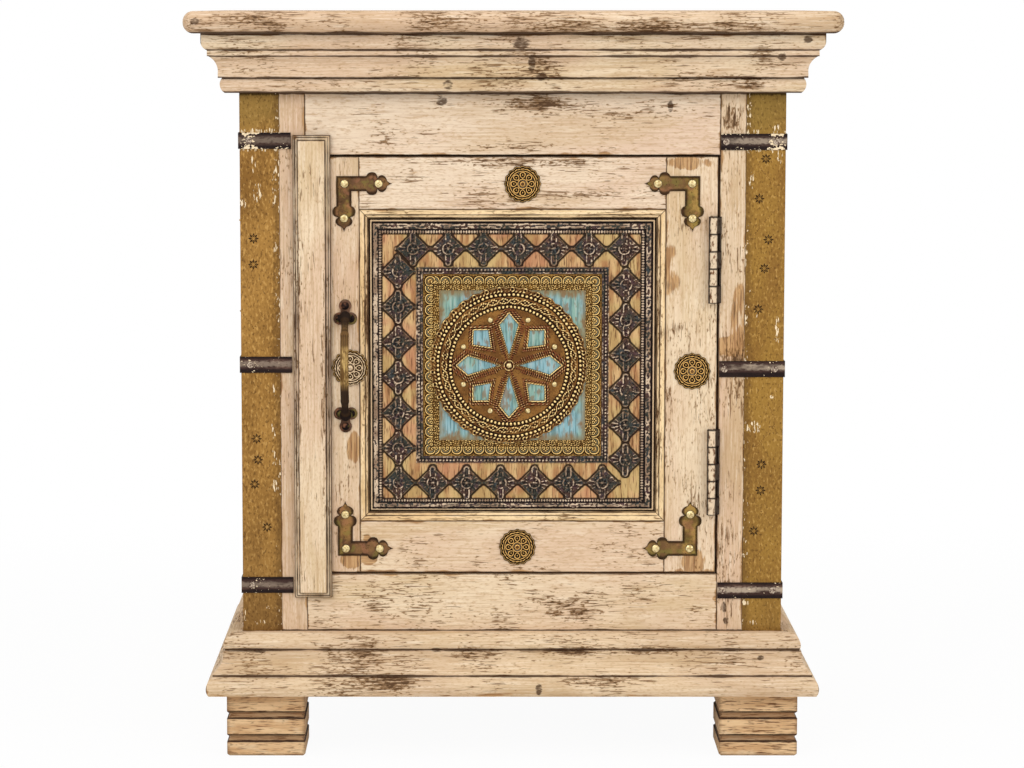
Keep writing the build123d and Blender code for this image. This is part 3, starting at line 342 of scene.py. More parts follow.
SIDE_TONES = (colour(220, 194, 162), colour(212, 180, 150), colour(196, 166, 126))
MOULDING_TONES = (colour(220, 194, 160), colour(210, 182, 150), colour(192, 162, 122))
RAIL_TONES = (colour(228, 206, 180), colour(222, 194, 168), colour(210, 182, 148))
# levels of painted shade lines: under the cornice and top board, above the base, and in quirks
FRAME_ENDS = (109.4, 579.4)
BASE_QUIRKS = (73.6, 95.0)
CORNICE_QUIRKS = (580.5, 593.0, 611.6, 616.9, 630.4)
FRAME_PAINT = {
    "stile_left": dict(grain="Z", cracks=-0.02, tones=SIDE_TONES, quirks=FRAME_ENDS),
    "stile_right": dict(grain="Z", cracks=0.015, tones=SIDE_TONES, quirks=FRAME_ENDS,
                        rubs=((195, 386, 10, 42), (188, 360, 14, 12)),
                        knots=((186, 130, 4, 8), (188, 118, 4, 5)),
                        dried=((190, 560, 12, 16), (188, 556, 8, 10), (190, 348, 14, 14),
                               (188, 140, 12, 30))),
    "rail_top": dict(grain="X", cracks=-0.02, tones=RAIL_TONES, quirks=FRAME_ENDS,
                     knots=((136, 568, 4, 8), (-61, 573, 7, 7)),
                     dried=((-109, 541, 22, 14), (-62, 570, 16, 9), (75, 566, 120, 12), (20, 572, 40, 8),
                            (0, 534, 60, 6))),
    "rail_bottom": dict(grain="X", quirks=FRAME_ENDS,
                        dried=((-100, 136, 46, 20), (66, 134, 68, 20), (160, 125, 12, 10))),
    "side_rails_left": dict(grain="Y"),
    "side_rails_right": dict(grain="Y"),
    "side_panel_left": dict(grain="Z"),
    "side_panel_right": dict(grain="Z"),
    "post_back_left": dict(grain="Z", wear=0.01),
    "post_back_right": dict(grain="Z", wear=0.01),
    "base_front": dict(grain="X", wear=0.02, cracks=0.03, tones=MOULDING_TONES, quirks=BASE_QUIRKS,
                       knots=((23, 63, 5, 8), (-221, 94, 9, 3), (-66, 95, 8, 3), (217, 88, 5, 3)),
                       dried=((-142, 93, 36, 18), (-110, 68, 46, 8), (-35, 92, 34, 8), (80, 70, 60, 6),
                              (90, 94, 120, 5))),
    "base_left": dict(grain="Y", wear=0.02, cracks=0.03, tones=MOULDING_TONES, quirks=BASE_QUIRKS),
    "base_right": dict(grain="Y", wear=0.02, cracks=0.03, tones=MOULDING_TONES, quirks=BASE_QUIRKS),
    "cornice_front": dict(grain="X", wear=0.01, cracks=0.008, quirks=CORNICE_QUIRKS,
                          knots=((7, 623.5, 12, 9), (24, 594, 8, 6), (16, 605, 5, 14), (230, 611, 6, 6),
                                 (251, 626, 6, 5), (-56, 587, 7, 7)),
                          dried=((-220, 617, 46, 12), (-141, 620, 20, 4), (0, 600, 56, 20),
                                 (170, 590, 70, 10), (225, 612, 30, 18))),
    "cornice_left": dict(grain="Y", wear=0.02, cracks=0.03, quirks=CORNICE_QUIRKS),
    "cornice_right": dict(grain="Y", wear=0.02, cracks=0.03, quirks=CORNICE_QUIRKS),
}
for number, (node, look) in enumerate(FRAME_PAINT.items()):
    old_paint(node, seed=3 * number + 2, **look)


# --- Top board --------------------------------------------------------------------------------------------
# One wide board with a rounded nose, painted like the rest but rubbed thinner and browner by use.

# the quirk line along the board's foot is painted shade under its nose
old_paint("top_board", "X", 71, wear=0.02, cracks=0.04, quirks=(631.6,), knots=((-270, 641, 7, 5),),
          tones=(colour(214, 188, 158), colour(206, 176, 146), colour(188, 158, 122)),
          dried=((-200, 643, 70, 10), (-60, 640, 50, 12), (120, 636, 160, 8)))


# --- Inside boards ----------------------------------------------------------------------------------------
# The front posts under their brass, the back, the floor, the shelf and its cleats are planed wood, screwed
# together and never painted.

def raw_wood(name, grain, seed):
    """Planed wood that was never painted: bands and pores along the grain, a little rougher at the pores."""
    finish = Finish(name)
    body, pores = wood_colours(finish, grain, seed, colour(206, 172, 128), colour(184, 146, 102),
                               colour(128, 90, 58))
    return finish.shade(Base_Color=body, Roughness=0.6 + pores * 0.2, Normal=finish.bump(pores, 0.25))


dress(["bottom_board", "shelf", "cleats"], raw_wood("inner_wood", "X", 5))
dress(["back_panel", "post_front_left", "post_front_right"], raw_wood("inner_wood_upright", "Z", 6))


# --- Brass sleeves on the front posts ---------------------------------------------------------------------
# Thin brass sheet folded round the outer corner of each front post and tacked down. It has tarnished in
# clouds, and cream paint has been splashed and rubbed along the edge beside the face frame, round the top
# straps and in scuffs.

SLEEVE_LEFT = colour(170, 127, 66)
SLEEVE_RIGHT = colour(160, 122, 58)
SLEEVE_BROWN = colour(134, 96, 48)
SLEEVE_OLIVE = colour(118, 102, 54)
PAINT_FLECK = colour(238, 216, 180)
SLEEVE_TOP = 580.0
STRAP_STEPS = {"left": (149.8, 194.4), "right": (144.9, 196.35)}      # lowest strap's middle, and the step up
# the painted highlight on each strap lies along this line
STRAP_SHINE = 0.6      # how far above its middle a strap is brightest
TOP_STRAP_FROM = 500.0      # what is above this level goes with the top strap


def from_strap(z, side):
    """How far a level is from the brightest line of the nearest strap on that side; the three straps are one
    step apart."""
    lowest, step = STRAP_STEPS[side]
    return (z - (lowest + STRAP_SHINE)).fold(step)


def sleeve_finish(side, inner_edge, seed, bright, scuffs, brown_below):
    """Cloudy, fine-grained brass: olive near the top, browner below a level, darker along its inner edge at
    that x, with painted shade under the cornice along its top, and paint splashed along that edge, round
    the top strap and in the scuffs, which are ellipses on the front."""
    finish = Finish(f"sleeve_brass_{side}")
    x, _, z = finish.axes()
    clouds = finish.blotches(40, "Z", 2.4, seed, detail=3, warp=0.4)
    fine = finish.blotches(2.0, "Z", 2.0, seed + 1, detail=5)
    body = finish.mix((clouds * 0.6 + fine * 0.4).rise(0.34, 0.6), SLEEVE_BROWN, bright)
    body = finish.mix(fine.rise(0.54, 0.68) * 0.42, body, colour(214, 172, 104))
    body = finish.mix((z + clouds * 60).rise(560, 600) * 0.45, body, SLEEVE_OLIVE)
    body = finish.mix((z + clouds * 60).rise(brown_below, 120) * 0.46, body, colour(100, 73, 46))
    tarnish = finish.blotches(1.8, "Z", 1.6, seed + 2, detail=4)
    body = finish.mix(tarnish.rise(0.54, 0.66) * 0.58, body, colour(84, 54, 28))
    from_edge = abs(x - inner_edge)
    flecks = finish.blotches(1.5, "Z", 3.0, seed + 3, detail=4)
    splash = finish.blotches(26, "Z", 2, seed + 4, detail=3)
    drips = finish.blotches(1.3, "Z", 7.0, seed + 5, detail=3)
    paint_at = flecks + splash * 0.4 + z.rise(470, 560) * 0.04 - from_edge * 0.024
    scuffed = from_strap(z, side).rise(14, 8) * z.rise(TOP_STRAP_FROM - 10, TOP_STRAP_FROM)
    for spot in scuffs:
        scuffed = scuffed.most(patch_at(x, z, spot))
    paint = paint_at.most(flecks * 0.5 + drips * 0.5 + scuffed * 0.28).rise(0.8, 0.84)
    body = finish.mix((from_edge + fine * 8).rise(12.0, 5.0) * 0.5, body, colour(96, 68, 38))
    # painted shade under the cornice, along the sleeve's top
    body = finish.mix((SLEEVE_TOP - z + fine * 4).rise(5, 3) * 0.8, body, colour(46, 30, 16))
    body = finish.mix(paint, body, PAINT_FLECK)
    return finish.shade(Base_Color=body, Metallic=0.85 - paint * 0.85,
                        Roughness=0.38 + fine * 0.25 + paint * 0.1,
                        Normal=finish.bump(fine * 0.5 + paint * 0.5, 0.3))


LEFT_SCUFFS = ((-225, 520, 5, 14), (-221, 494, 7, 16), (-206, 505, 4, 40), (-233, 484, 5, 9),
               (-206, 446, 3, 9), (-208, 322, 3, 10), (-208, 286, 4, 15), (-208, 262, 4, 13),
               (-207, 236, 5, 11), (-222, 117, 8, 4), (-234, 122, 2, 9), (-204, 140, 3, 6), (-214, 130, 3, 3))
RIGHT_SCUFFS = ((207, 505, 5, 12), (202, 386, 4, 18), (213, 383, 3, 10), (230, 374, 4, 22), (231, 525, 5, 9),
                (211, 289, 11, 9), (200, 325, 3, 12), (199, 288, 4, 10), (200, 264, 4, 6), (226, 316, 3, 3),
                (228, 545, 9, 12), (206, 133, 4, 4), (212, 116, 6, 4))
dress(["post_sleeve_left"], sleeve_finish("left", -202, 3, SLEEVE_LEFT, LEFT_SCUFFS, 280))
dress(["post_sleeve_right"], sleeve_finish("right", 202, 9, SLEEVE_RIGHT, RIGHT_SCUFFS, 190))


# --- Iron straps ------------------------------------------------------------------------------------------
# Flat black iron bent round the front corners and held by screws with dimpled heads; paint has caught on the
# edges and round the screws.

STRAP_HALF = 7.0
CORNER_SCREWS = 228.0      # how far to either side of the middle the screws at the corners are


def iron_finish(side, seed, flecks, highlight_share):
    """Black iron, brown in places, with a painted highlight along the strap's middle, as strong as
    highlight_share says, and black painted shade along both its edges. The top strap is darker, with more
    paint on it; flecks adds to it everywhere."""
    finish = Finish(f"strap_iron_{side}")
    x, _, z = finish.axes()
    sheen = finish.blotches(14, "X", 2.6, seed, detail=3)
    fine = finish.blotches(1.6, "X", 2, seed + 1, detail=4)
    body = finish.mix(sheen.rise(0.42, 0.64), colour(64, 45, 40), colour(104, 78, 66))
    from_middle = from_strap(z, side)
    top_strap = z.rise(TOP_STRAP_FROM, TOP_STRAP_FROM + 10)
    body = finish.mix(top_strap * 0.6, body, colour(36, 28, 28))
    # a painted highlight along each strap's middle and black painted shade along both its edges
    painted_highlight = (from_middle + fine * 4).rise(5.4, 3.2) * sheen.rise(0.3, 0.48) * (1 - top_strap * 0.3)
    body = finish.mix(painted_highlight * highlight_share, body, colour(174, 156, 136))
    body = finish.mix((from_middle + fine * 2).rise(STRAP_HALF - 2.6, STRAP_HALF - 0.6) * 0.85, body,
                      colour(24, 16, 16))
    body = finish.mix(fine.rise(0.52, 0.66) * 0.5, body, colour(52, 34, 28))
    dots = finish.blotches(1.8, "X", 1.3, seed + 2, detail=4)
    near_screw = abs(abs(x) - CORNER_SCREWS).rise(10, 4) * (0.06 + top_strap * 0.08)
    near_screw = near_screw + from_middle.rise(3.8, 6.2) * top_strap * 0.12
    splashed = dots + finish.blotches(11, "", 1, seed + 3) * 0.3 + near_screw
    paint = splashed.rise(0.86 - flecks, 0.88 - flecks)
    body = finish.mix(paint, body, PAINT_FLECK)
    return finish.shade(Base_Color=body, Metallic=0.3 - paint * 0.3, Roughness=0.46 + fine * 0.2,
                        Normal=finish.bump(fine, 0.25))


def screw_finish(name, size, seed, worn, dark, roughness):
    """Iron too small to show more than worn and dark specks, and a little rougher where it is dark."""
    finish = Finish(name)
    specks = finish.blotches(size, "", 1, seed, detail=3)
    return finish.shade(Base_Color=finish.mix(specks.rise(0.42, 0.6), worn, dark),
                        Roughness=roughness + specks * 0.2, Normal=finish.bump(specks, 0.2))


dress(["straps_left"], iron_finish("left", 4, 0.0, 0.42))
dress(["straps_right"], iron_finish("right", 14, 0.01, 1.0))
dress(["strap_screws"], screw_finish("screw_iron", 1.4, 8, colour(196, 178, 158), colour(96, 76, 66), 0.5))
dress(["handle_screws"], screw_finish("blackened_iron", 1.6, 18, colour(50, 38, 34), colour(26, 18, 16),
                                      0.55))


# --- Door frame -------------------------------------------------------------------------------------------
# Two stiles and two rails, painted as the face frame is. Four mitred strips pinned along their inner edges
# frame the carved board, and a cover batten is pinned over the joint on the handle side.

old_paint("door_stile_left", "Z", 90, cracks=-0.03, tones=SIDE_TONES,
          rubs=((-138, 272, 9, 20), (-138, 172, 18, 11)))
old_paint("door_stile_right", "Z", 95, cracks=-0.005,
          rubs=((138, 424, 11, 38), (150, 519, 30, 8), (158, 170, 18, 16)),
          dried=((142, 372, 16, 14), (140, 318, 14, 12), (136, 300, 6, 40)))
old_paint("door_rail_top", "X", 100, tones=RAIL_TONES, dried=((0, 520, 110, 5), (60, 492, 40, 5)))
old_paint("door_rail_bottom", "X", 105, cracks=-0.02, rubs=((-127, 190, 6, 8), (-126, 172, 10, 8)),
          dried=((-60, 170, 60, 8),))
old_paint("cover_batten", "Z", 110, wear=0.04, cracks=-0.03,
          dried=((-162.5, 343, 5, 230), (-186.5, 343, 5, 230)), step=(4.4, 1.9))

STRIP_WIDTH = 7.9


def along_strip(finish):
    """The piece's position in metres, with x and z changed over where a strip runs across, which is where a
    point is farther out in z than in x, each counted from the lines through the corners."""
    x, y, z = (value / 1000 for value in finish.axes())
    low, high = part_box("panel_strips")
    middle = (low[2] + high[2]) / 2
    corner = high[2] - middle - high[0]
    across = (abs(z - middle) - abs(x)).rise(corner - 1e-4, corner)
    there = finish.node("ShaderNodeCombineXYZ", None, {0: x, 1: y, 2: z})
    turned = finish.node("ShaderNodeCombineXYZ", None, {0: z, 1: y, 2: x})
    return finish.mix(across, there, turned)


old_paint("panel_strips", "Z", 120, cracks=0.02, place=along_strip,
          tones=(colour(242, 213, 166), colour(230, 195, 145), colour(206, 168, 112)),
          dried=((-125.5, 343, 6, 170), (126.5, 343, 5, 170)),
          step=(STRIP_WIDTH - 0.5, STRIP_WIDTH - 3.0), mitred=True)


# --- Hinges, screws and catch -----------------------------------------------------------------------------
# Two steel butt hinges under the same paint, chipped at the knuckles, and bright steel fittings inside.

KNUCKLE_PITCH = 15.0
HINGE_FEET = (212.5, 398.0)
BETWEEN_HINGES = 340.0


def hinge_finish():
    """Chipped cream paint on steel, with black painted shade in the gaps between the knuckles, which are one
    pitch apart from each hinge's foot up, and along both sides of the pin."""
    finish = Finish("hinge_paint")
    x, _, z = finish.axes()
    fine = finish.blotches(2.2, "Z", 2, 31, detail=4)
    body = finish.mix(fine.rise(0.5, 0.66), colour(222, 200, 170), colour(120, 84, 56))
    # painted shade in the gaps between the knuckles
    lower_gap, upper_gap = [(z - foot).fold(KNUCKLE_PITCH) for foot in HINGE_FEET]
    gap = lower_gap + (upper_gap - lower_gap) * z.rise(BETWEEN_HINGES - 1, BETWEEN_HINGES + 1)
    body = finish.mix((gap + fine).rise(1.7, 0.8) * 0.92, body, colour(34, 22, 16))
    # painted shade along both sides of the barrel round the pin
    pin_low, pin_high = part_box("hinge_pins")
    from_pin = abs(x - (pin_low[0] + pin_high[0]) * 500)
    body = finish.mix((from_pin + fine * 1.6).rise(3.1, 4.0) * 0.92, body, colour(34, 20, 14))
    return finish.shade(Base_Color=body, Roughness=0.5 + fine * 0.2, Normal=finish.bump(fine, 0.2))


def steel_finish():
    """Bright steel in fine upright streaks between two greys."""
    finish = Finish("bright_steel")
    fine = finish.blotches(1.2, "Z", 3, 35, detail=3)
    return finish.shade(Base_Color=finish.mix(fine, colour(120, 118, 116), colour(190, 188, 184)),
                        Metallic=0.9, Roughness=0.3 + fine * 0.2, Normal=finish.bump(fine, 0.1))


dress(["hinge_leaves_frame", "hinge_leaves_door", "hinge_pins"], hinge_finish())
dress(["hinge_screws_frame", "hinge_screws_door", "strike_plate", "magnet_catch"], steel_finish())


# --- Carved board -----------------------------------------------------------------------------------------
# One board with its whole pattern cut into it: a border of long links, a row of beads, a ring of lozenges and
# another row of beads round the brass. The relief was painted dark and rubbed back to pale wood on its tops;
# the ground between the lozenges is left as oiled wood. The board is held in the door frame by its tongue.

DOOR_MIDDLE = (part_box("door_stile_left")[0][2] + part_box("door_stile_left")[1][2]) * 500
BOARD_HALF = (124.6, 128.1)
BOARD_FACE = -145.3
BOARD_SHOULDER = -141.3
BOARD_CELL = 0.67
BORDER = 11.8          # from the board's edge to the ground: a fillet, the links and the beads
BORDER_LEFT, BORDER_RIGHT, BORDER_LOW, BORDER_HIGH = 11.05, 12.9, 10.6, 13.3      # as cut, side by side
FILLET_IN, LINKS_IN, BEADS_IN = 1.55, 5.7, 10.0      # from the board's edge to the middle of each
LINK_PITCH = 9.2
WHOLE_LINKS = 117.0          # right of here the links are still whole; elsewhere only scratches are left
BEAD_PITCH = 2.35
FRIEZE_HALF = (77.8, 79.8)
INNER_BEADS_OUT = 3.6          # from the frieze's edge
INNER_BEAD_PITCH = 3.0
INNER_BORDER = 6.0          # from the frieze's edge to the ground
LOZENGE_HALF = 14.6
LOZENGE_RING = 4.7          # radius of the ring round its star
LOZENGE_HEAD = 12.0          # from its centre to the middle of the arch that rounds each tip


def grid_faces(rows, columns, wrap=False):
    """Four corner numbers for each cell of a grid of points numbered row by row; wrap joins the last column
    to the first. Rows rising with z and columns with x face the front."""
    row, column = np.meshgrid(np.arange(rows - 1), np.arange(columns if wrap else columns - 1), indexing="ij")
    after = (column + 1) % columns
    corners = (row * columns + column, row * columns + after, (row + 1) * columns + after,
               (row + 1) * columns + column)
    return np.stack(corners, axis=-1).reshape(-1, 4)


def blurred(field, reach, wrap=False):
    """Mean of each value and its neighbours out to `reach` cells along both ways of the grid."""
    for axis in (0, 1):
        margin = [(0, 0), (0, 0)]
        margin[axis] = (reach, reach)
        wide = np.pad(field, margin, mode="wrap" if wrap and axis == 1 else "edge")
        count = field.shape[axis]
        field = sum(np.take(wide, range(shift, shift + count), axis=axis)
                    for shift in range(2 * reach + 1)) / (2 * reach + 1)
    return field


def relief_marks(height, kind, reach, depth, wrap=False):
    """What the finish reads at each point: kind of surface, how far it stands above the mean height round it
    and how far below, both as a share of `depth`."""
    over = (height - blurred(height, reach, wrap)) / depth
    return np.stack([kind + 0 * height, np.clip(over, 0, 1), np.clip(-over, 0, 1), 1 + 0 * height], axis=-1)


def make_piece(name, points, faces, material, body, marks=None, smooth=True, fans=None):
    """A mesh from arrays: points in millimetres, four-sided faces and three-sided fans. Unused points go.
    marks are four numbers a point for the finish to read. The piece rides on a body and takes a slot."""
    fans = np.zeros((0, 3), int) if fans is None else fans
    corners = np.concatenate([faces.ravel(), fans.ravel()])
    used, corners = np.unique(corners, return_inverse=True)
    mesh = bpy.data.meshes.new(name)
    mesh.vertices.add(len(used))
    mesh.vertices.foreach_set("co", (points.reshape(-1, 3)[used] / 1000).ravel())
    mesh.loops.add(len(corners))
    mesh.loops.foreach_set("vertex_index", corners.ravel())
    sides = np.concatenate([np.full(len(faces), 4), np.full(len(fans), 3)])
    mesh.polygons.add(len(sides))
    mesh.polygons.foreach_set("loop_start", np.cumsum(sides) - sides)
    mesh.polygons.foreach_set("loop_total", sides)
    mesh.polygons.foreach_set("use_smooth", np.full(len(sides), smooth))
    mesh.update(calc_edges=True)
    if marks is not None:
        layer = mesh.attributes.new("marks", "FLOAT_COLOR", "POINT")
        layer.data.foreach_set("color", marks.reshape(-1, 4)[used].ravel())
    mesh.materials.append(material)
    made = bpy.data.objects.new(name, mesh)
    bpy.context.scene.collection.objects.link(made)
    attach(made, body)
    return made


def line(distance, width):
    """A soft raised line: 1 on it, fading as a bell curve."""
    return np.exp(-(distance / width) ** 2)


def half_ball(along, across, radius):
    """Height of a ball cut in half, as a share of its radius: the root of one less the square of the distance
    from its middle in radii."""
    return np.sqrt(np.clip(1 - (along ** 2 + across ** 2) / radius ** 2, 0, 1))


def repeat(value, pitch):
    """Distance from the nearest of many marks set `pitch` apart."""
    return (value + pitch / 2) % pitch - pitch / 2


def rough(x, z, size, seed):
    """Smooth random heights between 0 and 1: random numbers on a square grid of points `size` apart, blended
    along both ways with an S curve."""
    numbers = np.random.default_rng(seed).random((97, 97))
    column, row = np.floor(x / size).astype(int), np.floor(z / size).astype(int)
    along, up = x / size - column, z / size - row
    along, up = along * along * (3 - 2 * along), up * up * (3 - 2 * up)
    corners = [[numbers[(column + i) % 97, (row + j) % 97] for i in (0, 1)] for j in (0, 1)]
    low, high = (pair[0] + (pair[1] - pair[0]) * along for pair in corners)
    return low + (high - low) * up


def lozenge_centres():
    """Rows of seven above and below the brass and columns beside it, each set out from its own first one
    because the carver spaced them by eye."""
    top = [(-86.5 + 30.6 * number, 101.8) for number in range(7)]
    bottom = [(-99.3 + 29.7 * number, -103.3) for number in range(7)]
    left = [(-99.5, 82.2 - 31.0 * number) for number in range(6)]
    right = [(98.8, 70.4 - 30.7 * number) for number in range(6)]
    return top + bottom + left + right


def lozenge_relief(x, z, kept):
    """One lozenge about its centre, by the sum of |x| and |z|: a plateau inside LOZENGE_HALF with a thin rim
    and a small knob at each side tip, a ring with a six-armed star in it, a tall arch above and below it that
    rounds off the tip, and a fan of strokes at each side; `kept` is how much of the cutting is left."""
    reach = np.abs(x) + np.abs(z)
    radius = np.hypot(x, z)
    head = np.hypot(x, np.abs(z) - LOZENGE_HEAD)
    knob = half_ball(np.abs(x) - LOZENGE_HALF, z, 1.1)
    inside = np.clip((LOZENGE_HALF - reach) / 0.9, 0, 1)
    inside = np.maximum(inside, np.maximum(np.clip((3.1 - head) / 0.7, 0, 1), np.clip(knob * 2, 0, 1)))
    kept = 0.35 + 0.65 * kept
    rim = 0.35 * line(reach - LOZENGE_HALF + 1.2, 0.55) * (head > 2.8)
    star = np.clip(np.cos(6 * np.arctan2(z, x)), 0, 1)
    star = star * np.clip((LOZENGE_RING - 1.0 - radius) / 0.6, 0, 1)
    cut = rim + 0.9 * line(radius - LOZENGE_RING, 0.6) + 0.5 * star + 0.5 * half_ball(x, z, 1.3)
    over_ring = np.clip((np.abs(z) - LOZENGE_RING - 0.5) / 0.7, 0, 1)
    tip = np.abs(z) > LOZENGE_HEAD
    arch = np.where(tip, line(head - 2.1, 0.6), line(np.abs(x) - 2.1, 0.6) * over_ring)
    cut = cut + 0.9 * arch + 0.4 * line(np.abs(x), 0.5) * over_ring * (np.abs(z) < 11.5)
    stroke = repeat(np.arctan2(z, np.abs(x)) + math.radians(10), math.radians(20)) * radius
    fan = line(stroke, 0.55) * np.clip((np.abs(x) - 5.6) / 0.8, 0, 1) * (np.abs(z) < np.abs(x) * 0.62)
    return inside * (1.0 + kept * (cut + 0.7 * fan) + 0.2 * knob), inside


def face_grid(half, cell):
    """Points (x, z) over a rectangle of those half sizes, in rows and columns about one cell apart."""
    columns, rows = [np.linspace(-reach, reach, round(2 * reach / cell) + 1) for reach in half]
    return np.meshgrid(columns, rows)


def on_board(x, z, height):
    """Points at (x, z) from the door's middle, each standing its height in front of the board's face."""
    return np.stack([x, BOARD_FACE - height, z + DOOR_MIDDLE], axis=-1)


# the outer border: a fillet, a bar with links or scratches along its top, and beads
x, z = face_grid(BOARD_HALF, BOARD_CELL)
edge_x = (BOARD_HALF[0] - np.abs(x)) * BORDER / np.where(x < 0, BORDER_LEFT, BORDER_RIGHT)
edge_z = (BOARD_HALF[1] - np.abs(z)) * BORDER / np.where(z < 0, BORDER_LOW, BORDER_HIGH)
edge = np.minimum(edge_x, edge_z)
run = np.where(edge_x < edge_z, z, x)
kept = np.clip((rough(x, z, 1.9, 1) * 0.6 + rough(x, z, 4.5, 2) * 0.4 - 0.36) * 4.5, 0, 1)
bar = np.sqrt(np.clip(1 - ((edge - LINKS_IN) / 2.6) ** 2, 0, 1))
wander = 1.4 * (rough(x, z, 6.0, 3) - 0.5)
scratches = line(edge - 4.4 - wander, 0.45) + line(edge - 5.9 + wander, 0.4)
scratches = scratches + line(edge - 7.3 - wander * 0.6, 0.4)
ovals = line(np.hypot(repeat(run, LINK_PITCH) / 3.6, (edge - LINKS_IN) / 1.6) * 1.6 - 1.6, 0.45)
links = np.where(x > WHOLE_LINKS, 0.9 * ovals, 0.8 * scratches) * kept * 1.1
fillet = np.clip((0.8 - np.abs(edge - FILLET_IN)) / 0.25, 0, 1)
height = 1.8 * fillet + 1.4 * bar + links
height = height + 1.2 * half_ball(repeat(run, BEAD_PITCH) * 1.4, edge - BEADS_IN, 1.5)

# the inner border, round the frieze: beads between two fine lines
from_frieze = np.maximum(np.abs(x) - FRIEZE_HALF[0], np.abs(z) - FRIEZE_HALF[1])
inner_run = np.where(np.abs(x) - FRIEZE_HALF[0] > np.abs(z) - FRIEZE_HALF[1], z, x)
inner_beads = half_ball(repeat(inner_run, INNER_BEAD_PITCH), from_frieze - INNER_BEADS_OUT, 1.0)
inner_lines = 0.7 * line(from_frieze - 0.9, 0.45) + 0.6 * line(from_frieze - 5.8, 0.4)
height = height + 0.9 * inner_beads * (0.5 + 0.5 * kept) + inner_lines * (0.3 + 0.7 * kept)

# the lozenges, cut off where they meet a border; these and the borders are painted, the ground isn't
painted_part = np.clip((BORDER - edge) / 0.7, 0, 1)
painted_part = np.maximum(painted_part, np.clip((INNER_BORDER + 0.5 - from_frieze) / 0.7, 0, 1))
in_ground = (from_frieze > INNER_BORDER) * (edge > BORDER - 0.6)
plateau = 0 * x
for centre_x, centre_z in lozenge_centres():
    raised, inside = lozenge_relief(x - centre_x, z - centre_z, kept)
    height = np.maximum(height, raised * in_ground)
    plateau = np.maximum(plateau, inside * in_ground)
painted_part = np.maximum(painted_part, plateau)

# the marks for the finish: paint; tops, with what has been rubbed pale; hollows; the fillet
tops = relief_marks(height - plateau, painted_part, 3, 0.5)[..., 1]
crumbs = 0.9 * painted_part * np.clip((rough(x, z, 0.9, 4) - 0.8) * 8, 0, 1)
rubbed_left = 1.1 * ((x < 9 - BOARD_HALF[0]) & (edge > 2.6)) * np.clip(rough(x, z, 1.1, 9) * 3 - 0.9, 0, 1)
beside_brass = (from_frieze < 6.5) & (x < -FRIEZE_HALF[0])
rubbed_inside = 0.8 * beside_brass * np.clip(rough(x, z, 1.2, 10) * 2 - 0.6, 0, 1)
board_marks = relief_marks(height, painted_part, 3, 0.5)
board_marks[..., 1] = np.maximum.reduce([tops, crumbs, rubbed_left, rubbed_inside])
board_marks[..., 2] = np.maximum(board_marks[..., 2], line(edge - 0.2, 0.35) + line(edge - 2.8, 0.4))
board_marks[..., 3] = fillet
height = np.where(edge < 0.01, BOARD_FACE - BOARD_SHOULDER, height)
board_faces = grid_faces(*x.shape)
under_frieze = from_frieze.ravel()[board_faces].mean(axis=1) <= -1.6


def relief_kinds(finish):
    """The four marks that a cut or embossed piece carries at its points."""
    held = finish.node("ShaderNodeAttribute", {"attribute_name": "marks"}, output="Color")
    apart = finish.node("ShaderNodeSeparateColor", None, {0: held})
    outputs = apart.socket.node.outputs
    alpha = Amount(finish, held.socket.node.outputs["Alpha"])
    return [Amount(finish, outputs[name]) for name in ("Red", "Green", "Blue")] + [alpha]


def carved_finish():
    """By its marks: where the first is 0, oiled wood in bands with pores; where it is 1, cloudy dark paint,
    rubbed back to pale wood on the tops. The hollows are nearly black, and the fillet is pale."""
    finish = Finish("carved_board")
    painted, high, low, fillet = relief_kinds(finish)
    bands = finish.blotches(5, "Z", 9, 201, detail=4, warp=0.3)
    pores = finish.blotches(1.2, "Z", 10, 203, detail=4)
    drift = finish.blotches(26, "", 1, 204, detail=2)
    ground = finish.mix(bands.rise(0.38, 0.62), colour(206, 170, 120), colour(168, 122, 80))
    ground = finish.mix(drift.rise(0.5, 0.62) * 0.55, ground, colour(190, 132, 100))
    ground = finish.mix(drift.rise(0.48, 0.38) * 0.5, ground, colour(188, 164, 106))
    ground = finish.mix(pores.rise(0.52, 0.66) * 0.85, ground, colour(98, 62, 38))
    cloud = finish.blotches(16, "", 1, 205, detail=3)
    grit = finish.blotches(1.5, "", 1, 206, detail=4)
    specks = finish.blotches(2.6, "", 1, 207, detail=5)
    dark = finish.mix(cloud.rise(0.42, 0.58), colour(76, 55, 46), colour(56, 57, 50))
    tint = finish.blotches(8, "", 1, 208, detail=2)
    dark = finish.mix(tint.rise(0.54, 0.64) * 0.4, dark, colour(60, 74, 82))
    dark = finish.mix(tint.rise(0.46, 0.36) * 0.35, dark, colour(92, 62, 76))
    dark = finish.mix(grit.rise(0.48, 0.66) * 0.88, dark, colour(14, 8, 8))
    dark = finish.mix(specks.rise(0.56, 0.68) * 0.6, dark, colour(126, 94, 66))
    rubbed = (high + grit * 1.3 + specks * 0.8).rise(1.42, 1.82)
    bright = finish.mix(cloud.rise(0.42, 0.6), colour(222, 197, 168), colour(154, 126, 102))
    dark = finish.mix(rubbed * 0.9, dark, bright)
    body = finish.mix(painted, ground, dark)
    body = finish.mix((low * 1.2 + grit * 0.4).rise(0.35, 0.75) * 0.95, body, colour(20, 10, 8))
    body = finish.mix((fillet + grit * 0.6 - specks * 0.4).rise(0.45, 0.9) * 0.9, body, colour(215, 184, 144))
    return finish.shade(Base_Color=body, Roughness=0.55 + grit * 0.2,
                        Normal=finish.bump(grit, 0.35, finish.bump(pores, 0.3)))


carved_board = make_piece("carved_board", on_board(x, z, height), board_faces[~under_frieze], carved_finish(),
                          "door", board_marks)
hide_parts("carved_panel")

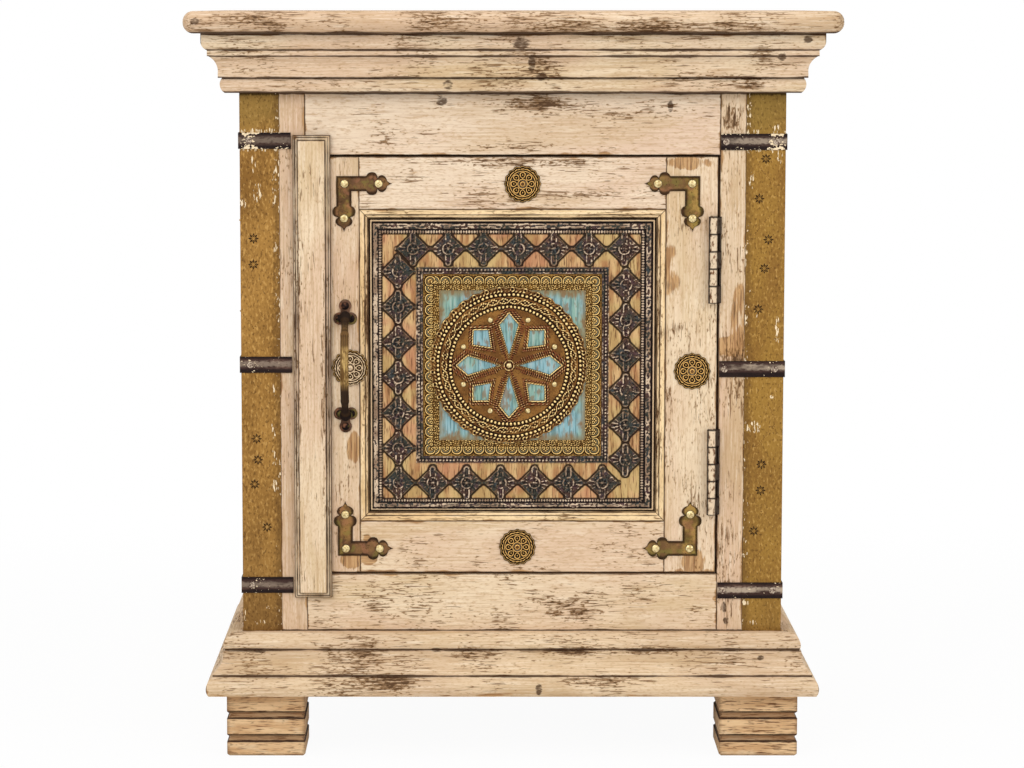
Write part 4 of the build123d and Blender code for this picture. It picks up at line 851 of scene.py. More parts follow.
# the board's tongue and back: a rectangle carried through its steps and closed by a fan about its middle
tongue_high = np.array(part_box("carved_panel")[1]) * 1000
tongue_half = (tongue_high[0], tongue_high[2] - DOOR_MIDDLE)
steps = np.array([(*BOARD_HALF, BOARD_SHOULDER), (*tongue_half, BOARD_SHOULDER),
                  (*tongue_half, tongue_high[1])])
turns = np.array([(-1, -1), (1, -1), (1, 1), (-1, 1)])
back_points = np.stack([steps[:, None, 0] * turns[None, :, 0], np.repeat(steps[:, None, 2], 4, axis=1),
                        steps[:, None, 1] * turns[None, :, 1] + DOOR_MIDDLE], axis=-1).reshape(-1, 3)
back_points = np.concatenate([back_points, [[0, tongue_high[1], DOOR_MIDDLE]]])
corner = np.arange(4)
back_fan = np.stack([0 * corner + 12, 8 + (corner + 1) % 4, 8 + corner], axis=-1)
back_wood = Finish("board_back")
back_colour, back_pores = wood_colours(back_wood, "Z", 15, colour(186, 150, 108), colour(160, 120, 82),
                                       colour(108, 74, 48))
back_wood.shade(Base_Color=back_colour, Roughness=0.62, Normal=back_wood.bump(back_pores, 0.25))
make_piece("board_back", back_points, grid_faces(3, 4, wrap=True)[:, ::-1], back_wood.material, "door",
           smooth=False, fans=back_fan)


# --- Painted ground ---------------------------------------------------------------------------------------
# The middle of the board is left flat and painted sky blue behind the brass; the paint is thin, streaked down
# the grain and worn to brown where the brass rubs it.

GROUND_HALF = (77.0, 79.0)
GROUND_POINTS = 41
GROUND_PROUD = 0.15


def ground_finish():
    """Thin sky blue in streaks down the grain, with brown smudges that grow towards the brass and small
    rubbed spots all over."""
    finish = Finish("blue_ground")
    x, _, z = finish.axes()
    streaks = finish.blotches(1.7, "Z", 12, 221, detail=4)
    cloud = finish.blotches(20, "Z", 1.5, 222, detail=3)
    body = finish.mix(cloud.rise(0.42, 0.6), colour(138, 177, 185), colour(136, 171, 158))
    body = finish.mix(streaks.rise(0.5, 0.7) * 0.6, body, colour(178, 186, 180))
    body = finish.mix(streaks.rise(0.5, 0.36) * 0.7, body, colour(76, 108, 110))
    rubs = finish.blotches(5, "Z", 2, 223, detail=5)
    away = abs(x).most(abs(z - DOOR_MIDDLE) * 0.975)
    smudge = (rubs * 14 + away).rise(62.0, 70.5)
    body = finish.mix(smudge * 0.85, body, colour(134, 116, 78))
    body = finish.mix((rubs + streaks * 0.5).rise(0.77, 0.87) * 0.7, body, colour(128, 96, 62))
    return finish.shade(Base_Color=body, Roughness=0.55 + streaks * 0.15, Normal=finish.bump(streaks, 0.3))


x, z = np.meshgrid(*[np.linspace(-half, half, GROUND_POINTS) for half in GROUND_HALF])
sag = 0.06 * np.sin(x / 9) * np.cos(z / 13)
make_piece("blue_ground", on_board(x, z, GROUND_PROUD - sag), grid_faces(*x.shape), ground_finish(), "door")


# --- Brass frieze -----------------------------------------------------------------------------------------
# A square band of thin brass sheet round the blue ground, embossed from behind: a row of double arches, each
# open towards the middle, then fine scrollwork that has worn nearly flat. Its hollows have gone black.

FRIEZE_BAND = 14.1
FRIEZE_CELL = 0.42
ARCH_PITCH = 9.7
ARCH_IN = 6.3          # from the sheet's outer edge to the middles of the arches
MEDALLION_X = -2.9
MEDALLION_COVERS = 68.6          # within this radius the disc presses the sheet flat


def antique(name, bright, mid, dark, seed, metal=0.7, tops=colour(250, 220, 152), over_painted=False):
    """Embossed brass: bright on the tops, mid on the flats, nearly black in the hollows, cloudy between, and
    reddish where the first mark is low; over_painted leaves the door's cream paint on it behind the
    handle."""
    finish = Finish(name)
    kind, high, low, _ = relief_kinds(finish)
    cloud = finish.blotches(16, "", 1, seed, detail=4)
    grit = finish.blotches(1.4, "", 1, seed + 1, detail=4)
    body = finish.mix((cloud * 0.6 + grit * 0.4).rise(0.42, 0.62), mid, bright)
    body = finish.mix(grit.rise(0.56, 0.7) * 0.6, body, dark)
    body = finish.mix(kind.rise(0.9, 0.3) * 0.8, body, colour(116, 62, 38))
    raised = high + grit * 0.8 - kind.rise(0.9, 0.3) * 0.25
    body = finish.mix(raised.rise(0.66, 1.24) * 0.92, body, tops)
    body = finish.mix((low + grit * 0.5).rise(0.3, 0.62) * 0.97, body, dark)
    if over_painted:
        left = finish.axes()[0].rise(-118, -122)
        body = finish.mix(left * (cloud * 0.4 + grit * 0.6 - low * 0.7).rise(0.36, 0.46) * 0.8, body, CREAM)
        body = finish.mix(left * low * 0.4, body, colour(120, 84, 46))
    return finish.shade(Base_Color=body, Metallic=metal, Roughness=0.38 + grit * 0.25 + low * 0.2,
                        Normal=finish.bump(grit, 0.16))


# arches, each a ring open inwards with a hollow in it; at a corner it is one ring about its own middle
x, z = face_grid(FRIEZE_HALF, FRIEZE_CELL)
from_side = FRIEZE_HALF[0] - np.abs(x)
from_end = FRIEZE_HALF[1] - np.abs(z)
inward = np.minimum(from_side, from_end)
run = np.where(from_side < from_end, z, x)
beat = repeat(run, ARCH_PITCH)
in_corner = (from_side < 10.5) & (from_end < 10.5)
arch = np.where(inward < ARCH_IN, np.hypot(beat, inward - ARCH_IN), np.abs(beat))
ring = np.where(in_corner, np.hypot(from_side - ARCH_IN, from_end - ARCH_IN), arch)
worn_flat = 0.45 + 0.75 * rough(x, z, 5.0, 5)
open_end = np.clip((9.0 - inward) / 1.6, 0, 1) * worn_flat
hollow = np.clip(1.2 - np.abs(ring - 2.8), 0, 1) * np.clip((6.9 - inward) / 0.8, 0, 1)
curl = np.hypot(np.abs(beat) - 1.6, inward - 7.0)
height = 0.8 + 1.2 * line(ring - 4.2, 0.5) * open_end - 0.9 * hollow
height = height + 0.8 * line(curl - 1.0, 0.42) * worn_flat + 0.5 * line(np.hypot(beat, inward - 4.6), 0.7)

# scrollwork beyond the arches, from two bent waves, and a fine cord along the outer edge
bend = 2.4 * np.sin(inward * 1.2 + run * 0.31)
scroll = np.sin(run * 1.7 + bend) * np.sin(inward * 2.3 + 1.7 * np.sin(run * 0.83))
height = height + 0.5 * scroll * np.clip((inward - 8.0) / 1.2, 0, 1) * worn_flat
height = height + 0.3 * line(inward - 0.9, 0.5) * (0.7 + 0.3 * np.cos(run * 2.6))
frieze_marks = relief_marks(height, 1.0, 2, 0.3)

# flat under the medallion, turned down at both edges, and cut out in the middle
beyond_disc = np.clip((np.hypot(x - MEDALLION_X, z) - MEDALLION_COVERS) / 1.2, 0, 1)
height = height * (0.2 + 0.8 * beyond_disc)
height = np.where((inward < 0.01) | (inward > FRIEZE_BAND - 0.1), -0.1, height)
faces = grid_faces(*x.shape)
in_band = inward.ravel()[faces].max(axis=1) < FRIEZE_BAND + 0.45
frieze_brass = antique("frieze_brass", colour(154, 114, 54), colour(108, 75, 33), colour(24, 14, 6), 240,
                       tops=colour(240, 204, 132))
frieze = make_piece("frieze_sheet", on_board(x, z, height), faces[in_band], frieze_brass, "door",
                    frieze_marks)
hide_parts("brass_frieze")


# --- Brass medallion --------------------------------------------------------------------------------------
# A round of thicker brass with eight kite-shaped windows cut through to the blue, each in two rows of cord. A
# row of beads, a plait of two strands, smaller beads and a scalloped flange run round it; the flange lies on
# the frieze. Nine domed nails hold it, one at its middle.

MEDALLION_RADIUS = 69.4
MEDALLION_RINGS = 132
MEDALLION_SPOKES = 720
STRAIGHT_KITE = (10.6, 44.5, 7.6, 35.5)      # inner point, outer point, half width, where it is widest
SLANTED_KITE = (23.4, 43.0, 8.4, 34.6)
FIELD_RADIUS = 50.2          # the windows and their cords lie within it
BEADS_AT, BEAD_COUNT = 51.3, 94
PLAIT_AT, PLAIT_WAVES = 56.5, 19
SMALL_BEADS_AT, SMALL_BEAD_COUNT = 62.2, 100
FLANGE_FROM = 64.0
TWIST_AT, TWIST_COUNT = 65.0, 128
SCALLOPS = 37


def disc_points(radii, spokes):
    """Distance and angle at each point of a disc: rings from `radii`, each with `spokes` points."""
    angle = np.arange(spokes) * 2 * math.pi / spokes
    return np.meshgrid(radii, angle, indexing="ij")


def disc_faces(rings, spokes):
    """Faces of a disc whose point 0 is its middle: a fan round the middle, then rings of four-sided cells."""
    outer = grid_faces(rings, spokes, wrap=True)[:, [0, 3, 2, 1]] + 1
    spoke = np.arange(spokes)
    fan = np.stack([0 * spoke, spoke + 1, (spoke + 1) % spokes + 1], axis=-1)
    return outer, fan


def with_middle(middle, rings):
    """The points or the marks of a disc in their order: its middle first, then its rings."""
    return np.concatenate([[middle], rings.reshape(-1, len(middle))])


def bead_ring(radius, angle, ring, count, size, squeeze=1.0):
    """Half balls side by side on a circle of radius `ring`, made shorter along it by `squeeze`."""
    return half_ball(repeat(angle, 2 * math.pi / count) * ring * squeeze, radius - ring, size)


def kite_distance(radius, angle, first_angle, kite):
    """How far outside the nearest of four kites a point is: the larger of its distances to the two slanted
    edges, negative inside."""
    inner, outer, half, widest = kite
    turn = repeat(angle - first_angle, math.pi / 2)
    out = radius * np.cos(turn)
    side = np.abs(radius * np.sin(turn))
    lower = (side * (widest - inner) - half * (out - inner)) / math.hypot(widest - inner, half)
    upper = (side * (outer - widest) - half * (outer - out)) / math.hypot(outer - widest, half)
    return np.maximum(lower, upper)


radii = np.linspace(0.5, MEDALLION_RADIUS, MEDALLION_RINGS)
radius, angle = disc_points(radii, MEDALLION_SPOKES)
scallop = 67.4 + 1.5 * np.abs(np.cos(angle * SCALLOPS / 2)) + 0.5 * np.cos(angle - 2.4)
flange = np.clip((radius - FLANGE_FROM) / (MEDALLION_RADIUS - FLANGE_FROM), 0, 1)
radius = np.where(flange > 0, FLANGE_FROM + flange * (scallop - FLANGE_FROM), radius)
x, z = radius * np.cos(angle), radius * np.sin(angle)
worn_flat = 0.35 + 0.9 * rough(x, z, 4.0, 6)
radius = radius + 0.7 * (rough(x, z, 8.0, 7) - 0.5) * np.clip((radius - 12) / 10, 0, 1) * (flange <= 0)

# the field: windows with a cord round each and two wider ones beyond it
straight = kite_distance(radius, angle, 0, STRAIGHT_KITE)
slanted = kite_distance(radius, angle, math.pi / 4, SLANTED_KITE)
window = np.minimum(straight, slanted)
in_field = np.clip((FIELD_RADIUS - radius) / 0.8, 0, 1)
hatch = 0.65 + 0.35 * np.cos(radius * 3.3 + 9 * np.sin(angle * 4))
wide_cord = line(straight - 3.6, 0.8) + 0.9 * line(straight - 5.6, 0.7) * (radius > 12)
cords = np.maximum(line(window - 1.1, 0.65), np.maximum(wide_cord, line(slanted - 3.4, 0.65)))
height = 0.9 + 1.0 * cords * hatch * worn_flat * in_field + 0.3 * (rough(x, z, 1.7, 8) - 0.5) * in_field

# the rings round it: beads, a plait of two waves with an eye in each turn, small beads, a twist and scallops
height = height + 1.3 * bead_ring(radius, angle, BEADS_AT, BEAD_COUNT, 1.4, squeeze=1.2)
wave = 2.1 * np.cos(angle * PLAIT_WAVES)
lay = 0.7 + 0.3 * np.cos(angle * PLAIT_WAVES * 8 + radius * 2.0)
plait = np.maximum(line(radius - PLAIT_AT - wave, 0.9), line(radius - PLAIT_AT + wave, 0.9)) * lay
eyes = bead_ring(radius, angle, PLAIT_AT, 2 * PLAIT_WAVES, 0.9)
in_plait = np.clip((3.9 - np.abs(radius - PLAIT_AT - 0.1)) / 0.5, 0, 1) * worn_flat
height = height + in_plait * (1.3 * plait + 0.7 * eyes)
small_beads = bead_ring(radius, angle, SMALL_BEADS_AT, SMALL_BEAD_COUNT, 1.3)
height = height + 1.2 * small_beads * (0.5 + 0.5 * worn_flat)
twist = 0.5 + 0.5 * np.cos(angle * TWIST_COUNT + (radius - TWIST_AT) * 1.6)
height = height + 0.9 * line(radius - TWIST_AT, 0.9) * twist * worn_flat
lobe = np.hypot(repeat(angle, 2 * math.pi / SCALLOPS) * 66, radius - scallop + 2.4)
height = height + 0.5 * line(lobe - 1.6, 0.5) + 0.4 * line(flange - 0.9, 0.1)
height = height - 0.35 * line(radius - 53.5, 0.5) - 0.35 * line(radius - 60.7, 0.4)
height = height + 0.4 * line(radius - 4.2, 0.5) * np.clip(window, 0, 1) - 0.5 * line(radius - 3.2, 0.4)
height = height - 0.7 * line(window - 0.1, 0.4) * in_field

window_fall = np.clip((window + 0.1) / 0.7, 0, 1)
kind = 1 - np.clip(np.maximum(wide_cord, line(slanted - 3.4, 0.9)) * in_field, 0, 1)
medallion_marks = relief_marks(height * window_fall, kind, 2, 0.4, wrap=True)
height = height * window_fall - 0.6 * (1 - window_fall)
height[-1] = 0.2
medallion_points = with_middle((MEDALLION_X, BOARD_FACE - 1.2, DOOR_MIDDLE),
                               on_board(MEDALLION_X + x, z, height + 0.1))
faces, fan = disc_faces(MEDALLION_RINGS, MEDALLION_SPOKES)
deepest = np.append(1.0, window.ravel())[faces].max(axis=1)
medallion_brass = antique("medallion_brass", colour(150, 106, 54), colour(104, 68, 34), colour(24, 12, 6),
                          260, metal=0.6)
medallion_sheet = make_piece("medallion_sheet", medallion_points, faces[deepest > -0.7], medallion_brass,
                             "door", with_middle((1, 0, 0, 1), medallion_marks), fans=fan)
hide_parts("medallion")


def copies(places, points, faces, fans, marks):
    """One shape set down at every place: its points moved there, the numbers in its faces and fans raised by
    the count of its points from copy to copy, and its marks said again."""
    first = np.arange(len(places))[:, None, None] * len(points)
    return ((points[None] + places[:, None]).reshape(-1, 3), (faces[None] + first).reshape(-1, 4),
            (fans[None] + first).reshape(-1, 3), np.tile(marks, (len(places), 1)))


def domes(name, centres, head_radius, head_height, face, material, rings=6, spokes=20):
    """Round heads on the door at (x, z) centres, bulging to the front from the plane y = face: height follows
    an ellipse from the middle to the rim, with a narrow rim turned down onto the plane and marked as low for
    painted shade where the head meets it."""
    share = np.append(np.sin(np.linspace(0.18, 1, rings) * math.pi / 2), 1.0)
    radius, angle = disc_points(share * head_radius, spokes)
    rise = head_height * np.sqrt(np.clip(1 - (share * 0.97) ** 2, 0, 1))
    rise[-1] = -0.15
    ring_points = np.stack([radius * np.cos(angle), face - rise[:, None] + 0 * radius,
                            radius * np.sin(angle)], axis=-1)
    # the rim's low mark is painted shade where the head meets the plane
    rim_shade = np.repeat(np.clip((share - 0.86) / 0.1, 0, 1), spokes)
    ring_marks = np.stack([1 - rim_shade, 0 * rim_shade, rim_shade, 1 + 0 * rim_shade], axis=-1)
    points, faces, fans, marks = copies(np.array([(x, 0, z) for x, z in centres]),
                                        with_middle((0, face - head_height, 0), ring_points),
                                        *disc_faces(rings + 1, spokes), with_middle((1, 0, 0, 1), ring_marks))
    return make_piece(name, points, faces, material, "door", marks, fans=fans)


def nail_finish():
    """Pale brass rubbed bright, specked darker, with painted shade at the rim, where the third mark is 1."""
    finish = Finish("nail_brass")
    grit = finish.blotches(1.6, "", 1, 271, detail=3)
    rim = relief_kinds(finish)[2]
    body = finish.mix(grit.rise(0.4, 0.65), colour(230, 212, 160), colour(176, 148, 96))
    body = finish.mix((rim + grit * 0.4).rise(0.3, 1.0) * 0.9, body, colour(48, 30, 14))
    return finish.shade(Base_Color=body, Metallic=0.5, Roughness=0.3 + grit * 0.2,
                        Normal=finish.bump(grit, 0.08))


NAILS_AT = 43.0
nail_brass = nail_finish()
nail_angles = math.radians(22.5) + np.arange(8) * math.pi / 4
nail_places = [(MEDALLION_X + NAILS_AT * math.cos(a), DOOR_MIDDLE + NAILS_AT * math.sin(a))
               for a in nail_angles]
nail_places.append((MEDALLION_X, DOOR_MIDDLE))
medallion_nail_heads = domes("medallion_nail_heads", nail_places, 2.3, 1.5, BOARD_FACE - 1.0, nail_brass)
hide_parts("medallion_nails")


# --- Rosettes ---------------------------------------------------------------------------------------------
# Four pressed brass rosettes nailed to the door: a wavy edge gone dark, a bright rope ring, a plain ring,
# eight petals with holes punched between them, and a ringed boss in the middle.

ROSETTE_RADIUS = 16.1
ROSETTE_RINGS = 52
ROSETTE_SPOKES = 176
ROSETTE_PLACES = ((8.6, 501.3), (4.5, 183.5), (-141.2, 341.3), (156.4, 338.4))
ROPE_AT, PLAIN_RING_AT, PETALS_AT, HOLES_AT = 12.9, 11.1, 7.6, 9.6
BOSS_RING_AT, BOSS_RADIUS = 4.1, 2.5
HIGHEST = 2.4
DOOR_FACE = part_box("door_stile_left")[0][1] * 1000

share, angle = disc_points(np.append(np.linspace(0.02, 1, ROSETTE_RINGS - 1), 1.0), ROSETTE_SPOKES)
radius = share * (ROSETTE_RADIUS - 0.5 + 0.5 * np.cos(16 * angle))
height = 0.9 + 0.5 * line(share * ROSETTE_RADIUS - 15.2, 0.5) - 0.7 * line(share * ROSETTE_RADIUS - 14.2, 0.5)
rope = 0.6 + 0.4 * np.cos(26 * angle + radius * 2.2)
height = height + 1.4 * line(radius - ROPE_AT, 0.6) * rope - 0.7 * line(radius - ROPE_AT + 1.0, 0.4)
height = height + 0.9 * line(radius - PLAIN_RING_AT, 0.45)
petal = np.hypot(repeat(angle, math.pi / 4) * PETALS_AT, (radius - PETALS_AT) * 0.85)
height = height + 0.9 * line(petal - 2.1, 0.5) + 0.5 * line(petal, 0.5) - 0.9 * line(petal - 1.1, 0.5)
hole = np.hypot(repeat(angle + math.pi / 8, math.pi / 4) * 9.4, radius - HOLES_AT)
height = height - 1.1 * line(hole, 0.7) + 1.0 * line(radius - BOSS_RING_AT, 0.5)
height = height - 1.2 * line(radius - BOSS_RING_AT + 1.0, 0.45) + 1.5 * half_ball(radius, 0, BOSS_RADIUS)
rosette_marks = relief_marks(height, 1.0, 3, 0.3, wrap=True)
rosette_marks[..., 2] = np.maximum(rosette_marks[..., 2], 0.22 * (share > 0.9))
height[-1] = -0.1
rosette_rings = np.stack([radius * np.cos(angle), DOOR_FACE - np.clip(height, -0.1, HIGHEST),
                          radius * np.sin(angle)], axis=-1)
points, faces, fans, marks = copies(np.array([(x, 0, z) for x, z in ROSETTE_PLACES]),
                                    with_middle((0, DOOR_FACE - HIGHEST, 0), rosette_rings),
                                    *disc_faces(ROSETTE_RINGS, ROSETTE_SPOKES),
                                    with_middle((1, 0.6, 0, 1), rosette_marks))
rosette_brass = antique("rosette_brass", colour(118, 80, 42), colour(66, 42, 24), colour(14, 8, 4), 280,
                        metal=0.5, tops=colour(228, 182, 108), over_painted=True)
rosettes = make_piece("pressed_rosettes", points, faces, rosette_brass, "door", marks,
                      fans=fans)
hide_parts("rosettes")


# --- Corner brackets --------------------------------------------------------------------------------------
# Four L-shaped plates cut from brass sheet, each arm with two shoulders, a lobe and a point, and three domed
# nails through each plate. The pair on the handle side has gone browner.

BRACKET_CORNERS = {      # the corner's x and z, which way its arms go along and up, and its clouds' seed
    "top_left": (-152.5, 508.1, 1, -1, 840.1), "top_right": (162.2, 508.1, -1, -1, 844.1),
    "bottom_left": (-152.5, 175.8, 1, 1, 519.8), "bottom_right": (162.2, 175.8, -1, 1, 523.8)}
BRACKET_NAILS = ((7.0, 6.5), (36.6, 6.5), (6.5, 36.6))      # along and up from the corner
ARM_HALF = 6.5
ARM_LENGTH = 48.3
ARM_STEPS = 90
STRAIGHT_TO = 26.0
SHOULDER_AT, NECK_AT, LOBE_AT = 30.8, 35.6, 39.2      # along the arm
BRACKET_PROFILE = ((-1, -0.05), (-1, 0.7), (-0.86, 1.0), (-0.45, 1.0), (0, 1.0), (0.45, 1.0), (0.86, 1.0),
                   (1, 0.7), (1, -0.05))
LEFT_BRASS = (colour(150, 112, 64), colour(92, 66, 42))
RIGHT_BRASS = (colour(168, 134, 72), colour(108, 82, 44))


def arm_half_width(s):
    """Half width of a bracket's arm at distance s from its corner: straight, a low round shoulder, a nick at
    the neck, a round lobe, then a hollow taper to the point."""
    shoulder = 3.4 * np.sqrt(np.clip(1 - ((s - SHOULDER_AT) / 4.6) ** 2, 0, 1))
    lobe = 7.3 * np.sqrt(np.clip(1 - ((s - LOBE_AT) / 5.0) ** 2, 0, 1))
    taper = 4.8 * np.clip((ARM_LENGTH - s) / 7.5, 0, 1) ** 1.5
    width = np.where(s < NECK_AT, ARM_HALF + shoulder, np.maximum(lobe, taper))
    return width - 0.7 * line(s - NECK_AT, 0.8)


def bracket_finish(name, bright, dark, seed):
    """Cloudy cut brass, dark along its outline, which the third mark gives, and browner along a level arm,
    where the second mark is 1."""
    finish = Finish(name)
    _, level, outline, _ = relief_kinds(finish)
    cloud = finish.blotches(13, "", 1, seed, detail=4)
    grit = finish.blotches(1.8, "", 1, seed + 1, detail=4)
    hue = finish.blotches(9, "", 1, seed + 2, detail=2)
    body = finish.mix((cloud * 0.75 + grit * 0.25).rise(0.4, 0.6), dark, bright)
    body = finish.mix(level * 0.5, body, colour(112, 80, 58))
    body = finish.mix(hue.rise(0.54, 0.64) * 0.4, body, colour(164, 110, 80))
    body = finish.mix(hue.rise(0.46, 0.36) * 0.5, body, colour(126, 116, 56))
    body = finish.mix(grit.rise(0.56, 0.7) * 0.6, body, colour(52, 32, 16))
    body = finish.mix((outline + grit * 0.5).rise(0.5, 1.2) * 0.85, body, colour(36, 22, 12))
    return finish.shade(Base_Color=body, Metallic=0.5, Roughness=0.38 + grit * 0.25,
                        Normal=finish.bump(grit, 0.15))


# one arm, laid along s from its corner: its profile is squeezed to the arm's width, and its start is mitred
across, rise = np.array(BRACKET_PROFILE).T
mitre = ARM_HALF * (1 + across)[None]
s = mitre + np.linspace(0, 1, ARM_STEPS)[:, None] * (ARM_LENGTH - mitre)
side = ARM_HALF + across[None] * np.where(s < STRAIGHT_TO, ARM_HALF, arm_half_width(s))
y = DOOR_FACE - rise[None] + 0 * s
arm_faces = grid_faces(ARM_STEPS, len(across))
outline = np.maximum(1.0 * (np.abs(across)[None] > 0.8), s > ARM_LENGTH - 3)
level_part = 1.0 * (s > 2 * ARM_HALF)
arm_marks = np.stack([[1 + 0 * s, level_part * level, outline, 1 + 0 * s] for level in (1, 0)])
arm_marks = np.moveaxis(arm_marks, 1, -1)
nail_places = []
for name, (corner_x, corner_z, right, up, seed) in BRACKET_CORNERS.items():
    level_arm = np.stack([corner_x + right * s, y, corner_z + up * side], axis=-1).reshape(-1, 3)
    upright_arm = np.stack([corner_x + right * side, y, corner_z + up * s], axis=-1).reshape(-1, 3)
    turned = right * up
    faces = np.concatenate([arm_faces[:, ::-turned], arm_faces[:, ::turned] + len(level_arm)])
    tones = LEFT_BRASS if name.endswith("left") else RIGHT_BRASS
    metal = bracket_finish(f"bracket_brass_{name}", *tones, seed)
    plate = make_piece(f"bracket_plate_{name}", np.concatenate([level_arm, upright_arm]), faces, metal,
                       "door", arm_marks, smooth=False)
    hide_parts(f"bracket_{name}")
    nail_places += [(corner_x + right * along, corner_z + up * above) for along, above in BRACKET_NAILS]
door_nail_heads = domes("door_nail_heads", nail_places, 3.7, 2.2, DOOR_FACE - 1.0, nail_brass,
                        rings=8, spokes=28)
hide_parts("door_nails")


# --- Pull handle ------------------------------------------------------------------------------------------
# A cast brass bar bowed out between two three-lobed plates, each lobe a dark ball; the bar is ribbed along
# its middle and polished there by hands, and black towards its ends.

HANDLE_X = -145.3
HANDLE_SPAN = 44.0          # from the middle of the bar to each of its ends
HANDLE_BOW = 25.0
BAR_STEPS, BAR_SPOKES = 96, 48
PLATE_THICKNESS = 1.6
PLATE_SHARES = (0.05, 0.2, 0.35, 0.5, 0.65, 0.8, 0.9, 0.97, 1.0, 1.0)      # of the way out, ring by ring
PLATE_SPOKES = 120
LOBE_RADIUS = 5.4
LOBE_ASIDE, LOBE_ON = 4.9, 11.2      # from the plate's foot: the two side lobes, and the one at its tip


def tube(centres, normals, binormals, radius, spokes):
    """A closed-round skin about a line: at each centre a circle of `spokes` points turned from the normal to
    the binormal, at a radius given for every point."""
    turn = np.arange(spokes) * 2 * math.pi / spokes
    ring = normals[:, None] * np.cos(turn)[None, :, None] + binormals[:, None] * np.sin(turn)[None, :, None]
    return centres[:, None] + ring * radius[..., None]


bow_radius = (HANDLE_SPAN ** 2 + HANDLE_BOW ** 2) / (2 * HANDLE_BOW)
half_angle = math.asin(HANDLE_SPAN / bow_radius)
sweep = np.linspace(-half_angle, half_angle, BAR_STEPS) * 1.05      # the ends are sunk in the plates
plate_face = DOOR_FACE - PLATE_THICKNESS
bow_middle = np.array([HANDLE_X, plate_face - HANDLE_BOW + bow_radius, DOOR_MIDDLE])
out = np.stack([0 * sweep, -np.cos(sweep), np.sin(sweep)], axis=-1)
turn = np.arange(BAR_SPOKES) * 2 * math.pi / BAR_SPOKES
share = np.abs(sweep / half_angle)[:, None]      # 0 at the middle of the bar, 1 at its ends
ribs = 0.13 * np.cos(12 * turn)[None] * np.clip((0.62 - share) / 0.1, 0, 1)
girth = 3.5 - 0.5 * line(share - 0.72, 0.12) + 0.45 * line(share - 0.58, 0.03)
girth = girth + 0.4 * line(share - 0.98, 0.05) + ribs + 1.3 * line(share - 0.94, 0.07)
girth[[0, -1]] = 0.4
sideways = np.tile([1.0, 0, 0], (BAR_STEPS, 1))
bar_points = tube(bow_middle + out * bow_radius, out, sideways, girth, BAR_SPOKES)
handle_marks = relief_marks(girth * 4, np.broadcast_to(share, girth.shape), 2, 0.5, wrap=True)


def handle_finish():
    """Brass rubbed pale where the hand holds it, duller beyond, and black towards its ends, which the first
    mark tells by rising to 1 there, and towards the lower one most."""
    finish = Finish("handle_brass")
    share, _, low, _ = relief_kinds(finish)
    cloud = finish.blotches(9, "Z", 2, 320, detail=4)
    grit = finish.blotches(1.3, "Z", 3, 321, detail=4)
    z = finish.axes()[2]
    held = z.rise(DOOR_MIDDLE - 20, DOOR_MIDDLE - 8) * z.rise(DOOR_MIDDLE + 26, DOOR_MIDDLE + 12)
    low_end = z.rise(DOOR_MIDDLE - 12, DOOR_MIDDLE - 24)
    body = finish.mix((cloud * 0.6 + grit * 0.4).rise(0.4, 0.62), colour(112, 80, 42), colour(206, 172, 108))
    body = finish.mix((1 - held + grit * 0.3).rise(0.4, 0.9) * 0.9, body, colour(98, 70, 38))
    body = finish.mix((low_end + grit * 0.3).rise(0.3, 0.9) * 0.92, body, colour(34, 22, 16))
    body = finish.mix((share + grit * 0.3).rise(0.72, 0.98) * 0.95, body, colour(26, 16, 14))
    body = finish.mix((low + grit * 0.3).rise(0.3, 0.8) * 0.7, body, colour(56, 38, 20))
    return finish.shade(Base_Color=body, Metallic=held * 0.4, Roughness=0.36 + grit * 0.25 + share * 0.35,
                        Normal=finish.bump(grit, 0.15))


handle_bar = make_piece("handle_bar", bar_points, grid_faces(BAR_STEPS, BAR_SPOKES, wrap=True),
                        handle_finish(), "door", handle_marks)
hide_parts("handle_grip")


def lobed_plate(name, up, node):
    """A three-lobed plate and its balls. The outline at each angle is the farthest crossing of that ray with
    the lobes' circles; the top is flat with a rounded rim, and each lobe carries most of a ball."""
    foot_z = up * (HANDLE_SPAN - 2.45)
    middle_z = foot_z + up * 3.0
    lobes = [(-LOBE_ASIDE, foot_z), (LOBE_ASIDE, foot_z), (0, foot_z + up * LOBE_ON)]
    share, angle = disc_points(PLATE_SHARES, PLATE_SPOKES)
    reach = 0 * angle
    for lobe_x, lobe_z in lobes:
        toward = lobe_x * np.cos(angle) + (lobe_z - middle_z) * np.sin(angle)
        aside = lobe_x * np.sin(angle) - (lobe_z - middle_z) * np.cos(angle)
        reach = np.maximum(reach, toward + np.sqrt(np.clip(LOBE_RADIUS ** 2 - aside ** 2, 0, None)))
    height = PLATE_THICKNESS * np.clip((1.04 - share) / 0.08, 0, 1) ** 0.5
    height[-1] = -0.1
    rings = np.stack([HANDLE_X + share * reach * np.cos(angle), DOOR_FACE - height,
                      DOOR_MIDDLE + middle_z + share * reach * np.sin(angle)], axis=-1)
    marks = np.stack([1 + 0 * share, 0 * share, 0.8 * (share > 0.985), 1 + 0 * share], axis=-1)
    faces, fan = disc_faces(len(PLATE_SHARES), PLATE_SPOKES)
    brown = bracket_finish(f"{name}_metal", colour(113, 84, 66), colour(72, 50, 38), 330 + 7 * up)
    dark = bracket_finish(f"{name}_ball_metal", colour(34, 22, 21), colour(12, 8, 8), 340 + 7 * up)
    plate = make_piece(name, with_middle((HANDLE_X, plate_face, DOOR_MIDDLE + middle_z), rings), faces, brown,
                       "door", with_middle((1, 0, 0, 1), marks), fans=fan)
    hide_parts(node)
    places = [(HANDLE_X + x, DOOR_MIDDLE + z) for x, z in lobes]
    # the balls' rims carry painted shade, as the nails' do
    domes(f"{name}_balls", places, 3.4, 2.2, plate_face, dark, rings=8, spokes=28)


lobed_plate("handle_plate_upper", 1, "handle_plate_top")
lobed_plate("handle_plate_lower", -1, "handle_plate_bottom")


